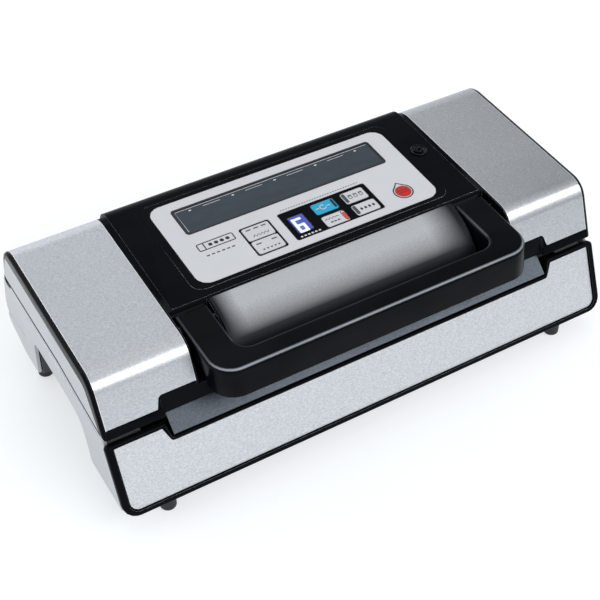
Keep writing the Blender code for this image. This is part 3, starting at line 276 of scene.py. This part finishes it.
def moulded(name, colour, roughness=0.5, edge=0.0, speck=0.10, scale=900.0, depth=0.00003):
    """Moulded plastic or rubber with a fine spark-eroded texture."""
    made = Finish(name, colour, roughness)
    if edge:
        made.round_edges(edge)
    fine = made.noise(scale, (1, 1, 1), 2.0, 0.6)
    wear = made.noise(40.0, (1, 1, 1), 4.0)
    made.link(made.tint(wear, shade(colour, 1 - speck), shade(colour, 1 + speck)), "Base Color")
    made.link(made.spread(fine, roughness - 0.06, roughness + 0.08), "Roughness")
    made.bump(fine, depth, 0.6)
    return made.material


def smoked(name, colour):
    """Dark clear plastic over a slate-grey inside, with a soft cloud of dust."""
    made = Finish(name, colour, 0.12, Specular_IOR_Level=0.35)
    dust = made.noise(60.0, (1, 2, 1), 4.0)
    made.link(made.tint(dust, shade(colour, 0.92), shade(colour, 1.12)), "Base Color")
    made.link(made.spread(made.noise(300.0), 0.10, 0.16), "Roughness")
    return made.material


def shaded_silver(name, colour, dark, roughness):
    """Silver paint with painted shade and a painted reflection of the dark handle: darker towards the ends
    and the lower edge, where the handle stands over it.
    """
    made = Finish(name, colour, roughness, 0.35, Specular_IOR_Level=0.3)
    made.round_edges()
    axes = made.tree.nodes.new("ShaderNodeSeparateXYZ")
    made.link(made.coords, "Vector", axes)
    right = made.spread(axes.outputs["X"], 1.0, 0.0, PAINTED_SHADE_RIGHT)
    left = made.spread(axes.outputs["X"], 0.0, 1.0, PAINTED_SHADE_LEFT)
    foot = made.spread(axes.outputs["Z"], 0.0, 1.0, PAINTED_SHADE_FOOT)
    fleck = made.noise(1400.0, (1, 1, 1), 2.0, 0.7)
    grain = made.spread(fleck, 0.84, 1.16, FLAKES)
    cover = made.product(made.product(left, right), made.product(foot, grain))
    made.link(made.tint(cover, dark, colour, (0.0, 1.0)), "Base Color")
    made.link(made.spread(fleck, roughness - 0.05, roughness + 0.05), "Roughness")
    made.bump(fleck, 0.00002, 0.5)
    return made.material


def lit(name, colour, strength):
    """A printed light or a display segment that glows a little."""
    made = Finish(name, colour, 0.3)
    haze = made.noise(400.0)
    made.link(made.tint(haze, shade(colour, 0.9), shade(colour, 1.1)), "Base Color")
    made.link(made.tint(haze, shade(colour, 0.9), shade(colour, 1.05)), "Emission Color")
    made.set(made.shader, "Emission Strength", strength)
    return made.material


STEEL = brushed("cover_steel", (0.58, 0.60, 0.63), 0.36, 0.15)
PLATE = brushed("plate_steel", (0.67, 0.69, 0.72), 0.44, 0.15)
TROUGH = brushed("trough_steel", (0.080, 0.092, 0.108), 0.46, 0.20)
PLAIN_STEEL = brushed("bright_steel", (0.62, 0.63, 0.66), 0.24, 0.05, False)
# A real sheared edge, coloured brighter than the cover's steel as a painted highlight
CUT_EDGE_AND_HIGHLIGHT = brushed("cut_steel_edge_and_highlight", (0.88, 0.89, 0.91), 0.35, 0.03, False)
# The last number of each black is the strength of its painted highlight
BLACK = gloss_black("gloss_black", (0.0030, 0.0037, 0.0050), 0.20, 0.03, 0.26)
HANDLE_BLACK = gloss_handle("handle_black", (0.0018, 0.0023, 0.0034), 0.22, 0.06, 0.42)
SILVER = satin("silver_paint", (0.50, 0.515, 0.54), 0.36, 0.06)
# The centre cover's silver, darkened at its ends and lower edge by painted shade and a painted reflection of
# the handle
CROWN = shaded_silver("crown_silver", (0.52, 0.535, 0.56), (0.008, 0.009, 0.012), 0.50)
LABEL = moulded("label_film", (0.62, 0.63, 0.66), 0.42, 0.0, 0.02, 500.0, 0.00001)
KEY = moulded("key_grey", (0.60, 0.61, 0.64), 0.45, 0.0, 0.03, 900.0, 0.00002)
KEY_BLUE = moulded("key_blue", (0.005, 0.37, 0.60), 0.40, 0.0, 0.06)
KEY_RED = moulded("key_red", (0.50, 0.010, 0.005), 0.42, 0.0, 0.06)
RUBBER = moulded("soft_rubber", (0.008, 0.009, 0.011), 0.62, EDGE, 0.20, 700.0, 0.00005)
DARK = moulded("dark_moulding", (0.024, 0.026, 0.030), 0.5, 0.0, 0.15)
GASKET = moulded("gasket_foam", (0.045, 0.048, 0.052), 0.8, 0.0, 0.25, 1200.0, 0.00012)
SILICONE = moulded("silicone", (0.55, 0.54, 0.52), 0.62, 0.0, 0.05)
TAPE = moulded("coated_tape", (0.42, 0.22, 0.09), 0.45, 0.0, 0.12, 1500.0, 0.00006)
BOARD = moulded("solder_mask", (0.015, 0.13, 0.055), 0.35, 0.0, 0.2)
LENS = smoked("smoked_lens", (0.030, 0.043, 0.058))
INK = moulded("black_ink", (0.004, 0.005, 0.006), 0.35, 0.0, 0.1)
GREY_INK = moulded("grey_ink", (0.060, 0.065, 0.075), 0.40, 0.0, 0.1)
# White print; the same colour also draws the painted highlight along the window's lens
WHITE_INK_AND_PAINTED_HIGHLIGHT = moulded("white_ink_and_painted_highlight", (0.62, 0.63, 0.66), 0.45, 0.0, 0.03)
RED_INK = moulded("dark_red_ink", (0.20, 0.012, 0.010), 0.45, 0.0, 0.08)
LED_RED = lit("red_light", (0.70, 0.045, 0.025), 0.10)
SCREEN = lit("screen_violet", (0.055, 0.075, 0.42), 0.12)
DIGIT = lit("screen_white", (0.75, 0.78, 0.84), 0.30)
TEAL = lit("screen_teal", (0.02, 0.30, 0.36), 0.15)

# ---------------------------------------------------------------- carried-over pieces

BODY_OF = {node: body for body, nodes in frame["record"]["behaviour"]["bodies"].items() for node in nodes}


def refined(node, finish, bevel):
    """The CAD node with its flat faces merged, its curves shaded smooth and its hard edges eased."""
    source = frame["nodes"][node]
    shape = bmesh.new()
    shape.from_mesh(source.data)
    bmesh.ops.remove_doubles(shape, verts=shape.verts, dist=WELD)
    bmesh.ops.dissolve_limit(shape, angle_limit=FLAT, verts=shape.verts, edges=shape.edges)
    mesh = bpy.data.meshes.new(f"{node}_surface")
    for face in shape.faces:
        face.smooth = True
    shape.to_mesh(mesh)
    shape.free()
    mesh.set_sharp_from_angle(angle=SHARP)
    mesh.materials.append(finish)
    made = bpy.data.objects.new(f"{node}_surface", mesh)
    bpy.context.scene.collection.objects.link(made)
    if bevel:
        ease = made.modifiers.new("eased", "BEVEL")
        ease.width, ease.segments = bevel, 2
        ease.limit_method, ease.angle_limit = "ANGLE", EASED
        ease.use_clamp_overlap = True
        ease.harden_normals = False
    weigh = made.modifiers.new("weighted", "WEIGHTED_NORMAL")
    weigh.keep_sharp = True
    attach(made, BODY_OF[node])
    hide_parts(node)


def repaint(node, finish):
    """A better material on a CAD node that keeps its own mesh."""
    source = frame["nodes"][node]
    if not source.data.materials:
        source.data.materials.append(finish)
    for index in range(len(source.data.materials)):
        source.data.materials[index] = finish


CORNERS = ("front_left", "front_right", "rear_left", "rear_right")

# Node, its finish and the width of its eased edges
REFINED = {
    "left_cover": (STEEL, 0.0005), "right_cover": (STEEL, 0.0005),
    "left_skirt": (SILVER, 0.0005), "right_skirt": (SILVER, 0.0005),
    "lid_frame": (BLACK, 0.0), "centre_cover": (CROWN, 0.0003),
    "label_panel": (LABEL, 0.0), "window_lens": (LENS, 0.0004), "display_lens": (INK, 0.0),
    "accessory_port": (BLACK, 0.0002), "handle": (HANDLE_BLACK, 0.0),
    "left_end_panel": (SILVER, 0.0006), "right_end_panel": (SILVER, 0.0006),
    "front_bezel": (BLACK, 0.0), "front_plate": (PLATE, 0.0003), "finger_trough": (TROUGH, 0.0003),
    "base_housing": (DARK, 0.0), "stop_key": (KEY_RED, 0.0002),
}
for corner in CORNERS:
    REFINED[f"{corner}_foot"] = (RUBBER, 0.0006)
for name in KEYS:
    REFINED[name] = (KEY_BLUE if name == "auto_key" else KEY, 0.00025)
for name, (finish, bevel) in REFINED.items():
    refined(name, finish, bevel)

REPAINTED = {
    DARK: ["lid_liner", "base_deck", "drip_tray", "pump_head", "lid_switch"],
    PLAIN_STEEL: ["lock_shaft", "left_hook", "right_hook", "left_catch", "right_catch", "hinge_rod",
                  "heating_strip", "cutter_blade", "pump_motor", "pump_shaft", "solenoid_valve",
                  "transformer"] + [f"{corner}_screw" for corner in CORNERS],
    KEY: ["cutter_rail"], KEY_BLUE: ["cutter_slider"],
    GASKET: ["upper_gasket", "lower_gasket"], RUBBER: ["vacuum_hose", "cable_gland"],
    SILICONE: ["sealing_bar", "pressure_pad"], TAPE: ["ptfe_tape"], BOARD: ["control_board", "power_board"],
}
for finish, nodes in REPAINTED.items():
    for node in nodes:
        repaint(node, finish)

# ---------------------------------------------------------------- printed marks and small trim


def outline(x0, y0, x1, y1, radius, steps=5):
    """A rectangle with round corners, anticlockwise."""
    corners = ((x1, y1, 0), (x0, y1, 90), (x0, y0, 180), (x1, y0, 270))
    points = []
    for x, y, start in corners:
        cx = x - radius if x == x1 else x + radius
        cy = y - radius if y == y1 else y + radius
        for k in range(steps + 1):
            turn = math.radians(start + 90 * k / steps)
            points.append((cx + radius * math.cos(turn), cy + radius * math.sin(turn)))
    return points


def circle(x, y, radius, start=0, end=360, steps=28):
    """Points round a circle, or along an arc of it from start to end in degrees."""
    turns = [math.radians(start + (end - start) * k / steps) for k in range(steps + (end - start < 360))]
    return [(x + radius * math.cos(t), y + radius * math.sin(t)) for t in turns]


def stroke(points, width, closed=False):
    """A ribbon of even width along points, as a list of four-sided faces."""
    count = len(points)
    left, right = [], []
    for i, here in enumerate(points):
        before = points[i - 1] if closed or i else here
        after = points[(i + 1) % count] if closed or i < count - 1 else here
        along = (Vector(after) - Vector(before)).normalized() * width / 2
        left.append((here[0] - along.y, here[1] + along.x))
        right.append((here[0] + along.y, here[1] - along.x))
    last = count if closed else count - 1
    return [[right[i], right[(i + 1) % count], left[(i + 1) % count], left[i]] for i in range(last)]


def printed(name, body, finish, faces, height, thick=0.00006, bevel=0.0):
    """Flat shapes on the lid's top plane at a height above it, with a real thickness."""
    shape = bmesh.new()
    for face in faces:
        shape.faces.new([shape.verts.new((x, y, height)) for x, y in face])
    bmesh.ops.remove_doubles(shape, verts=shape.verts, dist=1e-6)
    mesh = bpy.data.meshes.new(name)
    shape.to_mesh(mesh)
    shape.free()
    mesh.transform(Matrix.Translation((0, 0, TOP_Z)) @ Matrix.Rotation(TOP_TILT, 4, "X"))
    mesh.materials.append(finish)
    made = bpy.data.objects.new(name, mesh)
    bpy.context.scene.collection.objects.link(made)
    skin = made.modifiers.new("thickness", "SOLIDIFY")
    skin.thickness, skin.offset = thick, 1.0
    if bevel:
        ease = made.modifiers.new("eased", "BEVEL")
        ease.width, ease.segments = bevel, 2
    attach(made, body)


def spaced(x, count, pitch):
    """Middles of a row of evenly spaced marks about x."""
    return [x + (k - (count - 1) / 2) * pitch for k in range(count)]


def row(x, y, count, pitch, size, radius):
    """Evenly spaced rounded bars, centred on a point."""
    wide, tall = size[0] / 2, size[1] / 2
    return [outline(middle - wide, y - tall, middle + wide, y + tall, radius)
            for middle in spaced(x, count, pitch)]


def zigzag(x, y, width, height, teeth):
    """A line of pointed waves, centred on a point."""
    points = [(x - width / 2 + width * k / teeth, y + height * (k % 2 - 0.5)) for k in range(teeth + 1)]
    return stroke(points, 0.0006)


def arrows(x, y, count, pitch, size):
    """A row of arrowheads that point towards the front."""
    rear, front = y + size * 0.8, y - size * 0.8
    return [[(middle + size, rear), (middle, front), (middle - size, rear)]
            for middle in spaced(x, count, pitch)]


def drop(x, y, size):
    """A droplet with its point towards the rear."""
    return circle(x, y, size, 150, 390, 14) + [(x, y + size * 1.9)]


def key_marks():
    """Indicator slots and plain icons on each key."""
    ink = KEY_TOP + INK_LIFT
    x0, y0, x1, y1 = KEYS["sealing_key"]
    bars = row((x0 + x1) / 2, y1 - 0.0030, 3, 0.0065, (0.0042, 0.0012), 0.0003)
    printed("sealing_key_lights", "sealing_key_cap", GREY_INK, bars, ink)
    marks = zigzag((x0 + x1) / 2 + 0.0005, y0 + 0.0036, 0.0135, 0.0022, 9)
    printed("sealing_key_icon", "sealing_key_cap", INK, marks, ink)
    x0, y0, x1, y1 = KEYS["pressure_key"]
    bars = row((x0 + x1) / 2, y1 - 0.0040, 2, 0.0130, (0.0044, 0.0012), 0.0003)
    printed("pressure_key_lights", "pressure_key_cap", GREY_INK, bars, ink)
    marks = arrows((x0 + x1) / 2 + 0.0005, y0 + 0.0030, 5, 0.0032, 0.0011)
    printed("pressure_key_icon", "pressure_key_cap", INK, marks, ink)
    x0, y0, x1, y1 = KEYS["auto_key"]
    slot = outline(x1 - 0.0030, y0 + 0.0012, x1 - 0.0009, y1 - 0.0010, 0.0008)
    printed("auto_key_light", "auto_key_cap", INK, [slot], ink)
    middle = ((x0 + x1) / 2 - 0.0015, (y0 + y1) / 2)
    marks = stroke(circle(*middle, 0.0024, 60, 345, 16), 0.0007)
    marks.append([(middle[0] + 0.0012, middle[1] + 0.0036), (middle[0] - 0.0004, middle[1] + 0.0021),
                  (middle[0] + 0.0016, middle[1] + 0.0010)])
    marks += row(middle[0], middle[1], 2, 0.0098, (0.0032, 0.0007), 0.0002)
    printed("auto_key_icon", "auto_key_cap", WHITE_INK_AND_PAINTED_HIGHLIGHT, marks, ink)
    x0, y0, x1, y1 = KEYS["manual_key"]
    slot = outline(x1 - 0.0030, y0 + 0.0009, x1 - 0.0008, y1 - 0.0026, 0.0008)
    printed("manual_key_light", "manual_key_cap", LED_RED, [slot], ink)
    rim = outline(x1 - 0.0034, y0 + 0.0006, x1 - 0.0004, y1 - 0.0010, 0.0010)
    rim = stroke(rim, 0.0005, True)
    printed("manual_key_light_rim", "manual_key_cap", INK, rim, ink - INK_LIFT / 2)
    marks = zigzag((x0 + x1) / 2 - 0.0024, y0 + 0.0078, 0.0120, 0.0016, 8)
    marks += row((x0 + x1) / 2 - 0.0016, y0 + 0.0036, 3, 0.0030, (0.0022, 0.0012), 0.0003)
    printed("manual_key_icon", "manual_key_cap", INK, marks, ink)
    for name in ("canister_key", "marinate_key"):
        x0, y0, x1, y1 = KEYS[name]
        slot = outline(x0 + 0.0007, y0 + 0.0014, x0 + 0.0028, y1 - 0.0012, 0.0009)
        printed(f"{name}_light_rim", f"{name}_cap", INK, stroke(slot, 0.0006, True), ink)
        slot = outline(x0 + 0.0011, y0 + 0.0018, x0 + 0.0024, y1 - 0.0016, 0.0005)
        printed(f"{name}_light", f"{name}_cap", GREY_INK, [slot], ink)
    x0, y0, x1, y1 = KEYS["canister_key"]
    y = (y0 + y1) / 2
    marks = []
    for k in range(3):
        x = x0 + 0.0062 + 0.0048 * k
        marks += stroke(outline(x - 0.0013, y - 0.0019, x + 0.0013, y + 0.0010, 0.0005, 2), 0.0005, True)
        marks.append(outline(x - 0.0017, y + 0.0014, x + 0.0017, y + 0.0021, 0.0002, 2))
    printed("canister_key_icon", "canister_key_cap", INK, marks, ink)
    x0, y0, x1, y1 = KEYS["marinate_key"]
    y = (y0 + y1) / 2 - 0.0006
    marks = [drop(x0 + 0.0062 + 0.0036 * k, y, 0.0011) for k in range(4)]
    printed("marinate_key_icon", "marinate_key_cap", INK, marks, ink)


def stop_marks():
    """A drop-shaped outline round the stop key, a white ring, and two rows of bars on its cap."""
    x, y = STOP
    ring = circle(x, y, 0.0077, 122, 418, 40) + [(x, y + 0.0110)]
    printed("stop_outline", "lid", INK, stroke(ring, 0.0011, True), BLOCK_TOP + INK_LIFT)
    ring = stroke(circle(x, y, 0.0069), 0.0007, True)
    printed("stop_ring", "lid", WHITE_INK_AND_PAINTED_HIGHLIGHT, ring, BLOCK_TOP + INK_LIFT)
    bars = row(x, y + 0.0013, 3, 0.0030, (0.0022, 0.0009), 0.0002)
    bars += row(x, y - 0.0013, 3, 0.0030, (0.0022, 0.0009), 0.0002)
    printed("stop_key_icon", "stop_key_cap", RED_INK, bars, KEY_TOP + INK_LIFT)


def display_marks():
    """Lit field of the display with one digit and two spots, and progress dots in front of it."""
    x0, y0, x1, y1 = DISPLAY
    top = BLOCK_TOP - DISPLAY_SUNK + INK_LIFT
    field = outline(x0 + 0.0003, y0 + 0.0008, x1 - 0.0001, y1 - 0.0006, 0.0003, 2)
    printed("display_field", "lid", SCREEN, [field], top)
    x, y = (x0 + x1) / 2 - 0.0010, (y0 + y1) / 2 - 0.0016
    wide, tall, ink = 0.0058, 0.0140, 0.0026
    left, right, low, high = x - wide / 2, x + wide / 2, y - tall / 2, y + tall / 2
    strokes = [
        [(right, high), (left, high)], [(left, high), (left, low)], [(left, low), (right, low)],
        [(right, low), (right, y)], [(right, y), (left, y)],
    ]
    digit = []
    for start, end in strokes:
        x_low, x_high = sorted((start[0], end[0]))
        y_low, y_high = sorted((start[1], end[1]))
        digit.append(outline(x_low - ink / 2, y_low - ink / 2, x_high + ink / 2, y_high + ink / 2, 0.0006, 3))
    for k, bar in enumerate(digit):
        printed(f"display_digit_{k + 1}", "lid", DIGIT, [bar], top + 0.00004 + 0.00001 * k)
    spots = [outline(x - 0.0012, y - 0.0042, x + 0.0012, y - 0.0028, 0.0003, 2),
             outline(x - 0.0010, y + 0.0030, x + 0.0012, y + 0.0040, 0.0003, 2)]
    printed("display_spots", "lid", TEAL, spots, top + 0.00012)
    dots = row((x0 + x1) / 2 + 0.0012, -0.0163, 6, 0.0031, (0.0020, 0.0014), 0.0004)
    printed("progress_dots", "lid", WHITE_INK_AND_PAINTED_HIGHLIGHT, dots, BLOCK_TOP + 0.00003)


def label_marks():
    """A bag pictogram, a row of bars and a dotted guide line on the label."""
    top = BLOCK_TOP + INK_LIFT
    x0, y0, x1, y1 = -0.0890, 0.0062, -0.0592, 0.0138
    bag = stroke(outline(x0, y0, x1, y1, 0.0012), 0.0009, True)
    bag += stroke([(x0 + 0.0052, y0), (x0 + 0.0052, y1)], 0.0009)
    bag += [outline(x0 + 0.0086 + 0.0048 * k, y0 + 0.0022, x0 + 0.0118 + 0.0048 * k, y1 - 0.0022, 0.0014)
            for k in range(4)]
    printed("bag_pictogram", "lid", INK, bag, top)
    rule = row(-0.0752, -0.0002, 6, 0.0042, (0.0026, 0.0012), 0.0003)
    printed("model_marks", "lid", GREY_INK, rule, top)
    guide = row(0.0196, 0.0168, 30, 0.00235, (0.0015, 0.0007), 0.0002)
    printed("guide_marks", "lid", GREY_INK, guide, top)


def window_trim():
    """Dark rim round the window, a painted highlight as a light line along two of its sides, and the tabs
    that hold the lens.
    """
    x0, y0, x1, y1 = WINDOW
    width, grown = 0.0019, 0.0002
    rim = outline(x0 - grown, y0 - grown, x1 + grown, y1 + grown, 0.0020)
    rim = stroke(rim, width, True)
    printed("window_rim", "lid", INK, rim, BLOCK_TOP - 0.0003, 0.0006, 0.0002)
    # A painted highlight: a light line along the left and rear sides of the lens
    edge = stroke([(x0 + width, y0 + width), (x0 + width, y1 - width), (x1 - width, y1 - width)], 0.0004)
    printed("window_edge_painted_highlight", "lid", WHITE_INK_AND_PAINTED_HIGHLIGHT, edge, BLOCK_TOP - WINDOW_SUNK, 0.0001, 0.00003)
    tabs = []
    for k in range(5):
        x = x0 + 0.0135 + 0.0373 * k
        tabs.append(outline(x - 0.0011, y1 - 0.0052, x + 0.0011, y1 - 0.0040, 0.0004, 3))
        if k < 4:
            start = x + 0.0110
            tabs.append(outline(start, y1 - 0.0048, start + 0.0150, y1 - 0.0044, 0.0002, 2))
    printed("window_tabs", "lid", WHITE_INK_AND_PAINTED_HIGHLIGHT, tabs, BLOCK_TOP - WINDOW_SUNK)


def cover_edges():
    """The sheared edge of each steel cover, along both of its sides, in a brighter steel that paints its
    highlight.
    """
    for word, side in (("left", -1), ("right", 1)):
        low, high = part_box(f"{word}_cover")
        source = frame["nodes"][f"{word}_cover"]
        for number, x in enumerate((low.x, high.x)):
            rim = bmesh.new()
            rim.from_mesh(source.data)
            away = [f for f in rim.faces if any(abs(v.co.x - x) > 1e-5 for v in f.verts)]
            bmesh.ops.delete(rim, geom=away, context="FACES")
            mesh = bpy.data.meshes.new(f"{word}_cover_edge_{number + 1}")
            rim.to_mesh(mesh)
            rim.free()
            mesh.materials.append(CUT_EDGE_AND_HIGHLIGHT)
            made = bpy.data.objects.new(mesh.name, mesh)
            bpy.context.scene.collection.objects.link(made)
            skin = made.modifiers.new("thickness", "SOLIDIFY")
            skin.thickness, skin.offset = SHEARED, 0.0
            ease = made.modifiers.new("eased", "BEVEL")
            ease.width, ease.segments = SHEARED_EASE, 1
            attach(made, "lid")


key_marks()
stop_marks()
display_marks()
label_marks()
window_trim()
cover_edges()

# ---------------------------------------------------------------- stage, light and camera


def area(name, place, aim, size, power):
    """A white rectangular light that faces a point."""
    light = bpy.data.lights.new(name, "AREA")
    light.shape = "RECTANGLE"
    light.size, light.size_y = size
    light.energy = power
    made = bpy.data.objects.new(name, light)
    bpy.context.scene.collection.objects.link(made)
    made.location = place
    made.rotation_euler = (Vector(place) - Vector(aim)).to_track_quat("Z", "Y").to_euler()


def stage():
    """Pale paper that gives off a little light, so that shadows on it stay pale. It dims far away."""
    mesh = bpy.data.meshes.new("floor")
    half = 6.0
    corners = [(-half, -half, 0), (half, -half, 0), (half, half, 0), (-half, half, 0)]
    mesh.from_pydata(corners, [], [(0, 1, 2, 3)])
    floor = bpy.data.objects.new("floor", mesh)
    bpy.context.scene.collection.objects.link(floor)
    made = Finish("floor_paper", (0.50, 0.51, 0.52), 0.8, Specular_IOR_Level=0.1)
    made.link(made.tint(made.noise(3.0), (0.49, 0.50, 0.51), (0.51, 0.52, 0.53)), "Base Color")
    reach = made.tree.nodes.new("ShaderNodeVectorMath")
    reach.operation = "DISTANCE"
    made.set(reach, 1, GLOW_CENTRE)
    made.link(made.coords, 0, reach)
    glow = made.spread(reach.outputs["Value"], *GLOW, GLOW_FADE)
    made.set(made.shader, "Emission Color", (0.96, 0.98, 1.0, 1))
    made.link(glow, "Emission Strength")
    mesh.materials.append(made.material)


def sky():
    """Soft grey surroundings: brightest low behind the object, darker overhead and to the right."""
    world = bpy.data.worlds.new("studio")
    world.use_nodes = True
    tree = world.node_tree
    back = tree.nodes["Background"]
    back.inputs["Color"].default_value = (0.95, 0.975, 1.0, 1)
    coords = tree.nodes.new("ShaderNodeTexCoord")
    axes = tree.nodes.new("ShaderNodeSeparateXYZ")
    tree.links.new(coords.outputs["Generated"], axes.inputs["Vector"])

    def ramp(axis, stops):
        made = tree.nodes.new("ShaderNodeMapRange")
        made.interpolation_type = "SMOOTHSTEP"
        for socket, number in zip(("From Min", "From Max", "To Min", "To Max"), stops):
            made.inputs[socket].default_value = number
        tree.links.new(axes.outputs[axis], made.inputs["Value"])
        return made.outputs["Result"]

    def times(first, second):
        made = tree.nodes.new("ShaderNodeMath")
        made.operation = "MULTIPLY"
        tree.links.new(first, made.inputs[0])
        tree.links.new(second, made.inputs[1])
        return made.outputs["Value"]

    height, side, front = ramp("Z", SKY_HEIGHT), ramp("X", SKY_SIDE), ramp("Y", SKY_FRONT)
    tree.links.new(times(times(height, side), front), back.inputs["Strength"])
    bpy.context.scene.world = world


def camera():
    """The camera, at the place and angle that the object is shown from."""
    level = math.cos(VIEW_ELEVATION)
    back = Vector((math.sin(VIEW_AZIMUTH) * level, -math.cos(VIEW_AZIMUTH) * level, math.sin(VIEW_ELEVATION)))
    data = bpy.data.cameras.new("camera")
    data.lens, data.sensor_width = CAMERA_LENS, 36.0
    data.clip_start, data.clip_end = 0.05, 20.0
    made = bpy.data.objects.new("camera", data)
    bpy.context.scene.collection.objects.link(made)
    made.location = CAMERA_PLACE
    made.rotation_mode = "QUATERNION"
    made.rotation_quaternion = back.to_track_quat("Z", "Y")
    bpy.context.scene.camera = made


stage()
camera()
sky()
bpy.context.scene.view_settings.view_transform = "Standard"
for light in LIGHTS:
    area(*light)
